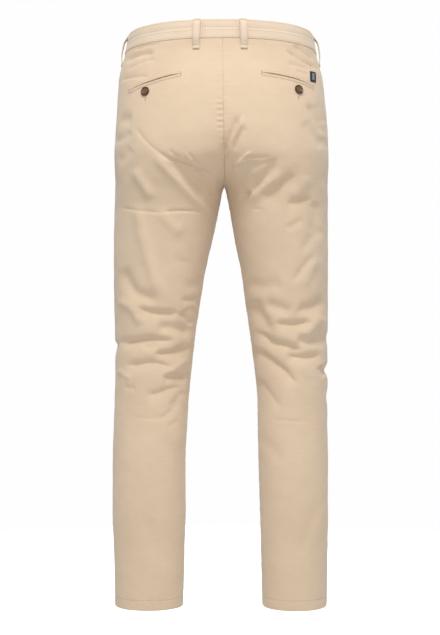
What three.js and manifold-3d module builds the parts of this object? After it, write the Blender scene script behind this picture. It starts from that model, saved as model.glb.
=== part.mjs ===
// Slim straight chino trousers, filled out as they are when worn: open at the waist and at both hems.
// Millimetres, +Z up. The front faces -Y, the wearer's left is +X, the origin is the middle of the waist.
import * as THREE from 'three';
import { mergeVertices } from 'three/addons/utils/BufferGeometryUtils.js';
import ManifoldModule from 'manifold-3d';

const wasm = await ManifoldModule();
wasm.setup();

// Cloth and seams
const CLOTH = 1.8;
const SEAM_GAP = 0.3;
const HEM_HEIGHT = 18;
const HEM_EXTRA = 1.4;
const HEM_STEP = 1.5;
const HEM_Z = -1027;
const CROTCH_Z = -255;

// Waist and waistband
const WAIST_TILT = 0.122;
const TILT_ENDS_Z = -150;
const BAND_LOW_Z = -14.5;
const BAND_HEIGHT = 35;
const BAND_GROOVE = 19;
const BAND_OUT = 1.1;
const BAND_INSIDE = -1.5;
const BAND_LAP = 24;
const BAND_LAP_LIFT = 3.5;
const BAND_RISE_STARTS = 16;
const BAND_RISE_ENDS = 4;
const WAIST_BUTTON_INSET = 14;
const INSERT_LEFT = 38;
const INSERT_RIGHT = 31;

// Fly: the left front laps over the right one. It rises over riseRun, done riseEnd short of the middle, and
// fades out downwards over liftFade and lapFade. sliver keeps the lap's column apart from the one beside it.
const FLY = {
  lap: 8,
  lift: 2.2,
  lowZ: -178,
  riseRun: 10,
  riseEnd: 4,
  liftDrop: 20,
  liftFade: 16,
  lapFade: 14,
  sliver: 0.04,
};

// Slanted hip pockets
const SLANT_TOP_WIDTH = 46;
const SLANT_CURVE = 0.9;
const SLANT_LOW_Z = -168;
const FACING_RAMP = 0.55;
const FACING_SHUT = 12;
const FACING_UNDER = 14;
const FACING_DEPTH = 2.9;
const FACING_CLOTH = 1.2;

// Back welt pockets
const WELT_HEIGHT = 5.8;
const WELT_GAP = 0.5;
const WELT_PUFF = 1.5;
const WELT_LIFT = 0.6;
const WELT_STEPS = 14;

// Buttons and tab
const BUTTON_RADIUS = 8.5;
const BUTTON_THICK = 3;
const BUTTON_HOLE_RADIUS = 0.9;
const BUTTON_HOLE_OFFSET = 1.9;
const BUTTON_LIFT = 0.7;
const BUTTON_SIDES = 20;
const HOLE_SIDES = 8;
const TAB_THICK = 0.9;
const TAB_LIFT = 0.6;

// Belt loops
const LOOP_WIDTH = 12.5;
const LOOP_THICK = 1.8;
const LOOP_SEAT = 0.8;

// Rows of numbers as objects with named values
function table(names, rows) {
  return rows.map((row) => Object.fromEntries(names.map((name, i) => [name, row[i]])));
}

// Each level of the seat. left and right: how far the sides reach from the middle. tuckBack and tuckFront:
// how far each half has closed on itself at the middle, from 0, half an oval, to 1, a whole tube. back and
// front: how deep the oval reaches. square: its exponent, 2 for an ellipse.
const SEAT = table(['z', 'left', 'right', 'tuckBack', 'tuckFront', 'back', 'front', 'square'], [
  [40, 168.5, 166.5, 0, 0, 101, -104, 2.3],
  [18, 171.5, 169.5, 0, 0, 104, -106, 2.3],
  [-14, 177.5, 175.5, 0, 0, 109, -110, 2.3],
  [-38, 184, 181.5, 0.01, 0, 116, -113, 2.32],
  [-60, 188, 187, 0.02, 0, 124, -115.5, 2.34],
  [-94, 190.5, 190, 0.06, 0, 134, -117.5, 2.35],
  [-131, 192.5, 193, 0.14, 0.03, 141, -117.5, 2.35],
  [-168, 194.5, 195.2, 0.29, 0.09, 144, -116.5, 2.32],
  [-190, 195.8, 196, 0.42, 0.16, 142.5, -115.5, 2.28],
  [-205, 196.3, 196.5, 0.52, 0.26, 140, -114, 2.25],
  [-220, 196.1, 196.4, 0.65, 0.4, 135, -112, 2.22],
  [-230, 195.8, 196, 0.745, 0.52, 131, -110, 2.2],
  [-240, 195.4, 195.6, 0.855, 0.7, 126.5, -108, 2.18],
  [-248, 195.1, 195.3, 0.94, 0.88, 123, -106.5, 2.16],
  [-255, 195, 195.2, 1, 1, 120, -105, 2.15],
]);

// Each level of the legs: outer and inner reach of each leg from the middle, back and front, squareness.
const LEGS = table(['z', 'outL', 'inL', 'outR', 'inR', 'back', 'front', 'square'], [
  [-255, 195, -5.5, 195.2, 5.5, 120, -105, 2.15],
  [-262, 195.3, -2.6, 195.6, 8.4, 117, -104, 2.14],
  [-279, 195.8, 1, 196.2, 12, 111, -102.5, 2.12],
  [-297, 196.1, 4.6, 196.5, 15.2, 105.5, -100.5, 2.1],
  [-334, 197.2, 12.4, 196.6, 21.8, 98, -97, 2.1],
  [-371, 198.1, 20.9, 196.5, 29.2, 92, -94, 2.1],
  [-408, 198.3, 28.9, 196.9, 36.8, 86.5, -91, 2.1],
  [-464, 198, 38.5, 197.4, 44.4, 79, -87, 2.08],
  [-519, 197, 46.6, 197, 52.4, 72, -83, 2.06],
  [-556, 196.7, 51.4, 196.8, 57.2, 68, -81, 2.06],
  [-593, 196.5, 55.5, 196.8, 61.6, 64, -77.5, 2.05],
  [-649, 197.6, 60.4, 196.5, 67, 61, -73, 2.05],
  [-704, 199, 63.6, 196.4, 67.6, 63, -67, 2.05],
  [-741, 199.8, 65.9, 196.7, 68.5, 65, -63.5, 2.05],
  [-834, 200.9, 65.7, 197.2, 70.7, 66, -59, 2.05],
  [-926, 198.7, 67.7, 196.3, 73.3, 61, -57, 2.05],
  [-1027, 196.1, 70.4, 194.3, 76, 56, -54, 2.05],
]);
const LEG_DEEPEN = 80;

// The seat's middle seam leans a little to the right on its way down.
const MIDDLE_TOP = { z: -14, x: -2.2 };
const MIDDLE_LOW = { z: CROTCH_Z, x: -5.5 };

// The largest folds. leg: 1 for the left one, -1 for the right one. s0 and s1: where a fold starts and ends,
// measured round the leg from the side seam, positive towards the back. z0 and z1: its heights. bow: how far
// its middle arches up. above and below: how fast it fades on its upper and lower side. rise: height out of
// the cloth, negative for a trough.
const FOLDS = table(['leg', 's0', 'z0', 's1', 'z1', 'bow', 'above', 'below', 'rise'], [
  // Seat and thigh, left leg, behind
  [1, 100, -152, 290, -250, -14, 8, 13, 4.5],
  [1, 120, -190, 285, -246, -8, 14, 9, -3.5],
  [1, 100, -207, 238, -300, 4, 10, 12, -5],
  [1, 170, -222, 262, -326, 2, 8, 12, 4],
  [1, 98, -236, 186, -366, 0, 10, 9, -2.6],
  [1, 60, -303, 246, -308, -2, 7, 7, -1.6],
  // Seat and thigh, right leg, behind
  [-1, 222, -136, 276, -244, -6, 6, 8, 5],
  [-1, 238, -172, 268, -240, -3, 6, 6, -3],
  [-1, 262, -236, 160, -216, 3, 8, 9, -4],
  [-1, 228, -290, 130, -246, 3, 10, 8, -4],
  [-1, 236, -310, 140, -262, 4, 9, 14, 3.2],
  [-1, 96, -288, 150, -300, 2, 9, 9, -2.5],
  [-1, 90, -12, 20, -36, 3, 6, 9, -3],
  [-1, 110, -20, 24, -50, 5, 8, 12, 3],
  [1, 92, -58, 40, -72, 3, 8, 10, -2.2],
  // Behind the left knee
  [1, 82, -478, 188, -486, -3, 6, 13, -5.5],
  [1, 120, -516, 226, -520, 6, 7, 12, -5],
  [1, 12, -546, 176, -536, 5, 6, 14, -6.5],
  [1, 116, -562, 236, -540, 1, 7, 13, -5],
  [1, 24, -584, 158, -582, 4, 8, 13, -4],
  [1, 120, -608, 226, -592, 3, 9, 9, -5.5],
  [1, 92, -640, 196, -618, 3, 9, 11, -3.2],
  [1, 126, -676, 206, -634, 2, 8, 10, -2.6],
  [1, 10, -560, -52, -572, 3, 8, 10, -5],
  [1, 14, -606, -40, -616, 2, 9, 11, -3],
  // Behind the right knee
  [-1, 168, -503, 66, -503, 0, 7, 12, -5.5],
  [-1, 214, -513, 84, -556, -2, 8, 13, -6.5],
  [-1, 120, -540, 6, -534, -3, 9, 10, -5.5],
  [-1, 222, -546, 92, -612, -3, 7, 13, -4.5],
  [-1, 134, -565, 28, -566, -3, 6, 12, -6],
  [-1, 20, -592, -44, -606, 3, 9, 10, -5.5],
  [-1, 30, -640, -30, -650, 2, 10, 12, -2.6],
  [-1, 104, -390, 130, -468, 4, 10, 12, -3],
  [-1, 60, -400, 92, -476, 3, 12, 10, 2.6],
  // Lower legs, behind
  [-1, 52, -820, 100, -950, 3, 14, 12, -2.4],
  [1, 92, -836, 140, -960, -3, 13, 13, -2.2],
  [1, 120, -712, 190, -770, 2, 12, 14, -1.8],
  [-1, 190, -706, 120, -760, 3, 12, 14, -1.8],
  // Front of the hips and thighs
  [1, -250, -196, -120, -140, 6, 9, 12, -2.8],
  [1, -256, -238, -110, -190, 8, 10, 13, -4],
  [1, -252, -268, -140, -262, 6, 8, 12, -3],
  [1, -236, -310, -150, -338, 4, 10, 12, -2.2],
  [-1, -248, -190, -132, -150, 5, 9, 12, -2.6],
  [-1, -256, -240, -120, -204, 7, 9, 13, -4],
  [-1, -252, -274, -150, -276, 5, 9, 11, -2.8],
  [-1, -230, -322, -158, -356, 3, 10, 12, -2],
  // Front of the knees
  [1, -60, -516, -150, -508, 4, 12, 14, -2.4],
  [1, -206, -540, -120, -560, 3, 9, 12, -3.2],
  [1, -40, -600, -126, -616, -4, 10, 13, -2.8],
  [1, -208, -616, -132, -634, -3, 9, 11, -3],
  [-1, -52, -508, -140, -516, 4, 12, 14, -2.2],
  [-1, -210, -532, -128, -548, 3, 9, 12, -3.2],
  [-1, -46, -616, -130, -628, -4, 10, 12, -2.8],
  [-1, -206, -604, -140, -620, -3, 9, 11, -2.8],
  // Lower legs, in front
  [1, -70, -900, -150, -938, 4, 13, 15, -2.2],
  [-1, -76, -886, -150, -930, 3, 13, 15, -2.2],
]);
const FOLD_END = 0.3;
const FOLD_KEEP_OFF_MIDDLE = 22;

// Levels of the panels, from the waist down: how many even steps lead to each depth.
const PANEL_TOP_Z = BAND_LOW_Z - SEAM_GAP;
const LEVEL_ZONES = [
  { to: -62, steps: 3 },
  { to: -140, steps: 5 },
  { to: -220, steps: 6 },
  { to: -248, steps: 3 },
  { to: CROTCH_Z, steps: 3 },
  { to: -330, steps: 6 },
  { to: -460, steps: 5 },
  { to: -700, steps: 20 },
  { to: HEM_Z + HEM_HEIGHT + HEM_STEP, steps: 7 },
  { to: HEM_Z + HEM_HEIGHT, steps: 1 },
  { to: HEM_Z, steps: 1 },
];
const BACK_COLUMNS = 11;
const FRONT_COLUMNS = 8;
const FACING_COLUMNS = 5;
const OVAL_SAMPLES = 160;
const FORK_REACH = 365;
const FORK_POWER = 6;

// Colours and finishes
const TWILL = { color: 0xdcc6ab, roughness: 0.92, metalness: 0 };
const BAND_TWILL = { color: 0xe6d1b8, roughness: 0.92, metalness: 0 };
const HORN = { color: 0x6b4a32, roughness: 0.35, metalness: 0 };
const WOVEN_TAB = { color: 0x56616f, roughness: 0.8, metalness: 0 };

const LEFT = 1;
const RIGHT = -1;

// Small mathematics
const clamp = (value, low, high) => Math.min(high, Math.max(low, value));

function smooth(value) {
  const t = clamp(value, 0, 1);
  return t * t * (3 - 2 * t);
}

// Slopes for a curve through a table's points that never overshoots them.
function slopes(heights, values) {
  const last = heights.length - 1;
  const step = heights.slice(1).map((height, i) => (values[i + 1] - values[i]) / (height - heights[i]));
  return heights.map((height, i) => {
    if (i === 0) return step[0];
    if (i === last) return step[last - 1];
    const before = step[i - 1];
    const after = step[i];
    if (before * after <= 0) return 0;
    const near = heights[i] - heights[i - 1];
    const far = heights[i + 1] - heights[i];
    const sum = 3 * (near + far);
    return sum / ((2 * far + near) / before + (far + 2 * near) / after);
  });
}

function curveThrough(levels, column) {
  const rows = [...levels].sort((a, b) => a.z - b.z);
  const heights = rows.map((row) => row.z);
  const values = rows.map((row) => row[column]);
  const slope = slopes(heights, values);
  return (z) => {
    let i = 0;
    while (i < heights.length - 2 && z > heights[i + 1]) i += 1;
    const span = heights[i + 1] - heights[i];
    const t = clamp((z - heights[i]) / span, -0.3, 1.3);
    const rest = 1 - t;
    return (1 + 2 * t) * rest * rest * values[i] + t * rest * rest * span * slope[i]
      + t * t * (3 - 2 * t) * values[i + 1] - t * t * rest * span * slope[i + 1];
  };
}

const columnsOf = (rows) => Object.keys(rows[0]).filter((name) => name !== 'z');
const seat = Object.fromEntries(columnsOf(SEAT).map((name) => [name, curveThrough(SEAT, name)]));
const legs = Object.fromEntries(columnsOf(LEGS).map((name) => [name, curveThrough(LEGS, name)]));

// x of the middle seam at a height
function middleX(z) {
  const t = clamp((z - MIDDLE_LOW.z) / (MIDDLE_TOP.z - MIDDLE_LOW.z), 0, 1);
  return MIDDLE_LOW.x + (MIDDLE_TOP.x - MIDDLE_LOW.x) * t;
}

// The oval that one half follows at a height, with x measured outwards from the middle plane
function ovalAt(side, behind, z) {
  const middle = side * middleX(z);
  if (z >= CROTCH_Z) {
    const reach = side === LEFT ? seat.left(z) : seat.right(z);
    const tuck = clamp(behind ? seat.tuckBack(z) : seat.tuckFront(z), 0, 1);
    const half = (reach - middle) / (1 + tuck);
    const back = seat.back(z);
    const front = seat.front(z);
    return {
      centre: middle + tuck * half,
      half,
      mid: (back + front) / 2,
      deep: (back - front) / 2,
      square: seat.square(z),
      end: Math.acos(-(tuck ** (seat.square(z) / 2))),
      middle,
    };
  }
  const [outer, inner] = side === LEFT ? [legs.outL(z), legs.inL(z)] : [legs.outR(z), legs.inR(z)];
  const half = (outer - inner) / 2;
  const widerLeg = (legs.outL(z) - legs.inL(z)) / 2;
  const deepen = side === LEFT ? 0 : (widerLeg - half) * smooth((CROTCH_Z - z) / LEG_DEEPEN);
  return {
    centre: (outer + inner) / 2,
    half,
    mid: (legs.back(z) + legs.front(z)) / 2,
    deep: (legs.back(z) - legs.front(z)) / 2 + deepen,
    square: legs.square(z),
    end: Math.PI,
    middle,
  };
}

// Points along one half oval, from the side seam to the middle seam or inseam, with the distance to each
const ovalCache = new Map();
function ovalPath(side, behind, z) {
  const key = `${side} ${behind} ${z.toFixed(3)}`;
  if (ovalCache.has(key)) return ovalCache.get(key);
  const oval = ovalAt(side, behind, z);
  const path = [];
  let length = 0;
  for (let i = 0; i <= OVAL_SAMPLES; i += 1) {
    const angle = (oval.end * i) / OVAL_SAMPLES;
    const c = Math.cos(angle);
    const x = oval.centre + oval.half * Math.sign(c) * Math.abs(c) ** (2 / oval.square);
    const y = oval.mid + (behind ? 1 : -1) * oval.deep * Math.abs(Math.sin(angle)) ** (2 / oval.square);
    if (i > 0) length += Math.hypot(x - path[i - 1].x, y - path[i - 1].y);
    path.push({ x, y, length });
  }
  ovalCache.set(key, path);
  return path;
}

const ovalLength = (side, behind, z) => ovalPath(side, behind, z)[OVAL_SAMPLES].length;

// The point at a distance along a half oval
function alongOval(side, behind, z, distance) {
  const path = ovalPath(side, behind, z);
  let i = 1;
  while (i < OVAL_SAMPLES && path[i].length < distance) i += 1;
  const a = path[i - 1];
  const b = path[i];
  const t = (distance - a.length) / (b.length - a.length);
  return { x: a.x + (b.x - a.x) * t, y: a.y + (b.y - a.y) * t };
}

// How far a point lies from an oval, as a share of it: 0 on it
function offOval(side, behind, z, x, y) {
  const oval = ovalAt(side, behind, z);
  const across = Math.abs((x - oval.centre) / oval.half) ** oval.square;
  return across + Math.abs((y - oval.mid) / oval.deep) ** oval.square - 1;
}

function outward(side, behind, z, x, y) {
  const oval = ovalAt(side, behind, z);
  const power = oval.square - 1;
  const across = (x - oval.centre) / oval.half;
  const deep = (y - oval.mid) / oval.deep;
  const step = 0.5;
  const higher = offOval(side, behind, z + step, x, y);
  const lower = offOval(side, behind, z - step, x, y);
  const zSlope = (higher - lower) / (2 * step);
  const xSlope = (oval.square * Math.sign(across) * Math.abs(across) ** power) / oval.half;
  const ySlope = (oval.square * Math.sign(deep) * Math.abs(deep) ** power) / oval.deep;
  return new THREE.Vector3(side * xSlope, ySlope, zSlope).normalize();
}

// Height of the folds at a distance round the leg and a height
function foldHeight(side, around, z) {
  let height = 0;
  for (const fold of FOLDS) {
    if (fold.leg !== side) continue;
    const ds = fold.s1 - fold.s0;
    const dz = fold.z1 - fold.z0;
    const length = Math.hypot(ds, dz);
    const t = ((around - fold.s0) * ds + (z - fold.z0) * dz) / (length * length);
    if (t <= 0 || t >= 1) continue;
    const up = Math.sign(ds) || 1;
    const off = up * ((z - fold.z0) * ds - (around - fold.s0) * dz) / length - fold.bow * 4 * t * (1 - t);
    const width = off > 0 ? fold.above : fold.below;
    if (Math.abs(off) > 3 * width) continue;
    const ends = smooth(t / FOLD_END) * smooth((1 - t) / FOLD_END);
    height += fold.rise * ends * Math.exp(-((off / width) ** 2));
  }
  return height;
}

// A point of the cloth's outer face with its outward direction. level is the height at the sides, before
// the waist's tilt. distance is measured round from the side seam.
function clothPoint(side, behind, level, distance) {
  const flat = alongOval(side, behind, level, distance);
  const tilt = WAIST_TILT * (1 - smooth((BAND_LOW_Z - level) / (BAND_LOW_Z - TILT_ENDS_Z)));
  const z = level + tilt * flat.y;
  const reach = ovalLength(side, behind, z) / ovalLength(side, behind, level);
  const base = alongOval(side, behind, z, distance * reach);
  const normal = outward(side, behind, z, base.x, base.y);
  const middle = side * middleX(z);
  const nearMiddle = z >= CROTCH_Z ? smooth((base.x - middle) / FOLD_KEEP_OFF_MIDDLE) : 1;
  const height = foldHeight(side, (behind ? 1 : -1) * distance, z);
  const x = base.x + side * normal.x * height * nearMiddle;
  const edge = z >= CROTCH_Z - 1 ? middle + SEAM_GAP / 2 : -Infinity;
  return {
    point: new THREE.Vector3(side * Math.max(x, edge), base.y + normal.y * height, z + normal.z * height),
    normal,
  };
}

// Round the whole waist: 0 is the middle of the back, 1 the left side, 2 the middle front and 3 the right
// side.
function quarterOf(turn) {
  const quarter = Math.floor(((turn % 4) + 4) % 4);
  const part = (((turn % 4) + 4) % 4) - quarter;
  const quarters = [
    { side: LEFT, behind: true, share: 1 - part },
    { side: LEFT, behind: false, share: part },
    { side: RIGHT, behind: false, share: 1 - part },
    { side: RIGHT, behind: true, share: part },
  ];
  return quarters[quarter];
}

function ringPoint(turn, level, lift) {
  const { side, behind, share } = quarterOf(turn);
  const length = ovalLength(side, behind, level);
  const at = clothPoint(side, behind, level, share * length);
  return at.point.addScaledVector(at.normal, lift);
}

// Turn of the ring at a distance from a turn, at the waistband's height
function turnBy(turn, distance) {
  const { side, behind } = quarterOf(turn + Math.sign(distance) * 1e-6);
  return turn + distance / ovalLength(side, behind, BAND_LOW_Z);
}

// A closed body between an outer and an inner grid of points of the same size
function slab(outer, inner) {
  const rows = outer.length;
  const columns = outer[0].length;
  const points = [...outer.flat(), ...inner.flat()];
  const out = (r, c) => r * columns + c;
  const within = (r, c) => rows * columns + r * columns + c;
  const faces = [];
  const quad = (a, b, c, d) => faces.push(a, b, c, a, c, d);
  for (let r = 0; r < rows - 1; r += 1) {
    for (let c = 0; c < columns - 1; c += 1) {
      quad(out(r, c), out(r + 1, c), out(r + 1, c + 1), out(r, c + 1));
      quad(within(r, c), within(r, c + 1), within(r + 1, c + 1), within(r + 1, c));
    }
    quad(out(r, 0), within(r, 0), within(r + 1, 0), out(r + 1, 0));
    quad(out(r, columns - 1), out(r + 1, columns - 1), within(r + 1, columns - 1), within(r, columns - 1));
  }
  for (let c = 0; c < columns - 1; c += 1) {
    quad(out(0, c), out(0, c + 1), within(0, c + 1), within(0, c));
    quad(out(rows - 1, c), within(rows - 1, c), within(rows - 1, c + 1), out(rows - 1, c + 1));
  }
  const numbers = points.flatMap((point) => [point.x, point.y, point.z]);
  const geometry = new THREE.BufferGeometry();
  geometry.setAttribute('position', new THREE.Float32BufferAttribute(numbers, 3));
  geometry.setIndex(faces);
  return facingOut(geometry);
}

// Turns a closed body's faces outwards
function facingOut(geometry) {
  const at = geometry.getAttribute('position');
  const index = geometry.getIndex();
  const corner = (i) => new THREE.Vector3().fromBufferAttribute(at, index.getX(i));
  let volume = 0;
  for (let i = 0; i < index.count; i += 3) volume += corner(i).dot(corner(i + 1).cross(corner(i + 2)));
  if (volume < 0) {
    for (let i = 0; i < index.count; i += 3) {
      const second = index.getX(i + 1);
      index.setX(i + 1, index.getX(i + 2));
      index.setX(i + 2, second);
    }
  }
  return geometry;
}

const group = new THREE.Group();
function addPiece(name, geometry, finish) {
  const mesh = new THREE.Mesh(geometry, new THREE.MeshStandardMaterial(finish));
  mesh.name = name;
  group.add(mesh);
}

function panelLevels() {
  const levels = [PANEL_TOP_Z];
  for (const zone of LEVEL_ZONES) {
    const from = levels[levels.length - 1];
    for (let i = 1; i <= zone.steps; i += 1) levels.push(from + ((zone.to - from) * i) / zone.steps);
  }
  return levels;
}

const clothAt = (level) => CLOTH + (level <= HEM_Z + HEM_HEIGHT + 0.01 ? HEM_EXTRA : 0);

// The slanted pocket edge: its distance from the side seam at a level
function slantAt(level) {
  const t = clamp((level - SLANT_LOW_Z) / (PANEL_TOP_Z - SLANT_LOW_Z), 0, 1);
  return SLANT_TOP_WIDTH * t ** SLANT_CURVE;
}

// How far round a column lies, as a share of the half oval. Just above the crotch, where the half ovals
// grow into whole tubes, only the columns next to the middle move along.
function columnShare(side, behind, level, share) {
  if (level < CROTCH_Z) return share;
  const length = ovalLength(side, behind, level);
  const fork = ovalLength(side, behind, CROTCH_Z) * (1 - (level - CROTCH_Z) / FORK_REACH);
  const ahead = Math.max(length, fork) / length;
  return share * ahead + (1 - ahead) * share ** FORK_POWER;
}

// A leg panel between two distances from the side seam, level by level
function panel(side, behind, columns, rowShape) {
  const outer = [];
  const inner = [];
  for (const level of panelLevels()) {
    const { from, to, lift } = rowShape(level, ovalLength(side, behind, level));
    const outerRow = [];
    const innerRow = [];
    for (let c = 0; c <= columns; c += 1) {
      const distance = from + (to - from) * columnShare(side, behind, level, c / columns);
      const at = clothPoint(side, behind, level, distance);
      const raised = lift(distance);
      outerRow.push(at.point.clone().addScaledVector(at.normal, raised));
      innerRow.push(at.point.clone().addScaledVector(at.normal, raised - clothAt(level)));
    }
    outer.push(outerRow);
    inner.push(innerRow);
  }
  return { outer, inner };
}

const noLift = () => 0;
const halfGap = SEAM_GAP / 2;

function backPanel(side) {
  const { outer, inner } = panel(side, true, BACK_COLUMNS, (level, length) => ({
    from: halfGap,
    to: length - halfGap,
    lift: noLift,
  }));
  return slab(outer, inner);
}

function frontPanel(side) {
  const { outer, inner } = panel(side, false, FRONT_COLUMNS, (level, length) => ({
    from: halfGap + slantAt(level),
    to: length - halfGap,
    lift: side === LEFT ? flyLift(level, length) : noLift,
  }));
  if (side === LEFT) addFlyLap(outer, inner);
  return slab(outer, inner);
}

// The left front rises over the right one near the middle
function flyLift(level, length) {
  const lift = FLY.lift * smooth((level - FLY.lowZ + FLY.liftDrop) / FLY.liftFade);
  const start = length - FLY.riseEnd - FLY.riseRun;
  return (distance) => lift * smooth((distance - start) / FLY.riseRun);
}

function addFlyLap(outer, inner) {
  panelLevels().forEach((level, row) => {
    const lap = FLY.lap * smooth((level - FLY.lowZ) / FLY.lapFade);
    if (lap === 0) {
      const sliver = new THREE.Vector3(-FLY.sliver, 0, 0);
      outer[row].push(outer[row].at(-1).clone().add(sliver));
      inner[row].push(inner[row].at(-1).clone().add(sliver));
      return;
    }
    const length = ovalLength(RIGHT, false, level);
    const at = clothPoint(RIGHT, false, level, length - lap);
    outer[row].push(at.point.clone().addScaledVector(at.normal, FLY.lift));
    inner[row].push(at.point.clone().addScaledVector(at.normal, FLY.lift - CLOTH));
  });
}

// Cloth behind the slanted pocket mouth: level with the side seam, then dropping under the front panel
function hipFacing(side) {
  const outer = [];
  const inner = [];
  for (const level of panelLevels().filter((z) => z >= SLANT_LOW_Z - FACING_UNDER)) {
    const mouth = slantAt(level);
    const ramp = Math.max(FACING_RAMP * mouth, halfGap);
    const open = smooth(mouth / FACING_SHUT);
    const outerRow = [];
    const innerRow = [];
    for (let c = 0; c <= FACING_COLUMNS; c += 1) {
      const distance = halfGap + ((mouth + FACING_UNDER - halfGap) * c) / FACING_COLUMNS;
      const at = clothPoint(side, false, level, distance);
      const depth = FACING_DEPTH * Math.max(1 - open, smooth(distance / ramp));
      outerRow.push(at.point.clone().addScaledVector(at.normal, -depth));
      innerRow.push(at.point.clone().addScaledVector(at.normal, -depth - FACING_CLOTH));
    }
    outer.push(outerRow);
    inner.push(innerRow);
  }
  return slab(outer, inner);
}

// Waistband: height above its lower edge and how far its face stands out there
const BAND_PROFILE = [
  { height: 0, out: 0.4 },
  { height: 2.5, out: BAND_OUT },
  { height: BAND_GROOVE - 2.2, out: BAND_OUT },
  { height: BAND_GROOVE, out: 0.1 },
  { height: BAND_GROOVE + 2.2, out: BAND_OUT },
  { height: BAND_HEIGHT - 2.5, out: BAND_OUT },
  { height: BAND_HEIGHT, out: 0.3 },
];

function evenly(from, to, steps) {
  return Array.from({ length: steps + 1 }, (_, i) => from + ((to - from) * i) / steps);
}

function waistband(turns, liftAt) {
  const outer = [];
  const inner = [];
  for (const { height, out } of BAND_PROFILE) {
    const level = BAND_LOW_Z + height;
    const outerRow = [];
    const innerRow = [];
    for (const turn of turns) {
      const lift = liftAt(turn);
      outerRow.push(ringPoint(turn, level, out + lift));
      innerRow.push(ringPoint(turn, level, BAND_INSIDE + lift));
    }
    outer.push(outerRow);
    inner.push(innerRow);
  }
  return slab(outer, inner);
}

// A belt loop stands off the waistband. height: above the waistband's lower edge. bulge: its share of the
// loop's full stand-off there.
const LOOP_PROFILE = [
  { height: -19.5, bulge: 0 },
  { height: -15, bulge: 0.03 },
  { height: -10, bulge: 0.3 },
  { height: -4, bulge: 0.72 },
  { height: 4, bulge: 0.95 },
  { height: 14, bulge: 1 },
  { height: 22, bulge: 0.95 },
  { height: 28, bulge: 0.64 },
  { height: 31.5, bulge: 0.24 },
  { height: 35.6, bulge: 0.14 },
];

function beltLoop(turn, stand) {
  const edges = [-LOOP_WIDTH / 2, LOOP_WIDTH / 2].map((distance) => turnBy(turn, distance));
  const row = ({ height, bulge }, extra) => {
    const off = LOOP_SEAT + (stand - LOOP_SEAT) * bulge + extra;
    return edges.map((edge) => ringPoint(edge, BAND_LOW_Z + height, off));
  };
  return slab(LOOP_PROFILE.map((step) => row(step, LOOP_THICK)), LOOP_PROFILE.map((step) => row(step, 0)));
}

// A point of the back by its place in elevation: x outwards from the middle plane, and height
function backPoint(side, x, z, lift) {
  const oval = ovalAt(side, true, z);
  const across = clamp(Math.abs(x - oval.centre) / oval.half, 0, 1);
  const y = oval.mid + oval.deep * (1 - across ** oval.square) ** (1 / oval.square);
  const path = ovalPath(side, true, z);
  const far = (at) => Math.hypot(at.x - x, at.y - y);
  const near = path.reduce((best, at) => (far(at) < far(best) ? at : best));
  const normal = outward(side, true, z, x, y);
  const height = foldHeight(side, near.length, z) + lift;
  return new THREE.Vector3(side * x, y, z).addScaledVector(normal, height);
}

// Each back pocket's mouth runs out from the middle and dips: even and growing are the two parts of how far
// it has dipped at its outer end.
const POCKETS = [
  {
    name: 'pocket_left',
    side: LEFT,
    xIn: 72,
    xOut: 164,
    zIn: -67.5,
    even: 15.8,
    growing: 8.3,
    buttonX: 134.4,
    buttonZ: -96.8,
  },
  {
    name: 'pocket_right',
    side: RIGHT,
    xIn: 72,
    xOut: 164,
    zIn: -65.5,
    even: 9,
    growing: 8.8,
    buttonX: 136.2,
    buttonZ: -93.6,
  },
];

function mouthZ(pocket, x) {
  const t = (x - pocket.xIn) / (pocket.xOut - pocket.xIn);
  return pocket.zIn - pocket.even * t - pocket.growing * t ** 3;
}

// A welt is a rounded lip along the mouth. up: 1 above the mouth, -1 below it.
const WELT_SECTION = [
  { across: 0, puff: 0.5 },
  { across: 0.2, puff: 1 },
  { across: 0.6, puff: 0.95 },
  { across: 1, puff: 0.35 },
];

function welt(pocket, up) {
  const row = (x, thick) => WELT_SECTION.map(({ across, puff }) => {
    const z = mouthZ(pocket, x) + up * (WELT_GAP / 2 + across * WELT_HEIGHT);
    return backPoint(pocket.side, x, z, WELT_LIFT + (thick ? puff * WELT_PUFF : 0));
  });
  const places = Array.from({ length: WELT_STEPS + 1 }, (_, i) => i / WELT_STEPS);
  const xs = places.map((t) => pocket.xIn + (pocket.xOut - pocket.xIn) * t);
  return slab(xs.map((x) => row(x, true)), xs.map((x) => row(x, false)));
}

// Section of a button, as shares of its radius and thickness, from the middle of its back to that of its
// face
const BUTTON_SECTION = [
  { radius: 0, height: 0 },
  { radius: 0.8, height: 0 },
  { radius: 1, height: 0.45 },
  { radius: 0.94, height: 0.9 },
  { radius: 0.8, height: 1 },
  { radius: 0.62, height: 0.72 },
  { radius: 0, height: 0.66 },
];

// A four-hole button, its face along +Z and its back at z 0
function buttonShape() {
  const profile = BUTTON_SECTION.map(({ radius, height }) => (
    new THREE.Vector2(radius * BUTTON_RADIUS, height * BUTTON_THICK)
  ));
  const disc = solidOf(new THREE.LatheGeometry(profile, BUTTON_SIDES).rotateX(Math.PI / 2));
  const holes = [-1, 1].flatMap((i) => [-1, 1].map((j) => {
    const length = 3 * BUTTON_THICK;
    const hole = new THREE.CylinderGeometry(BUTTON_HOLE_RADIUS, BUTTON_HOLE_RADIUS, length, HOLE_SIDES);
    hole.rotateX(Math.PI / 2).translate(i * BUTTON_HOLE_OFFSET, j * BUTTON_HOLE_OFFSET, 0);
    return solidOf(hole);
  }));
  return geometryOf(holes.reduce((rest, hole) => rest.subtract(hole), disc));
}

function solidOf(geometry) {
  const bare = geometry.clone();
  bare.deleteAttribute('normal');
  bare.deleteAttribute('uv');
  const merged = facingOut(mergeVertices(bare, 1e-4));
  return new wasm.Manifold(new wasm.Mesh({
    numProp: 3,
    vertProperties: Float32Array.from(merged.getAttribute('position').array),
    triVerts: Uint32Array.from(merged.getIndex().array),
  }));
}

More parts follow.
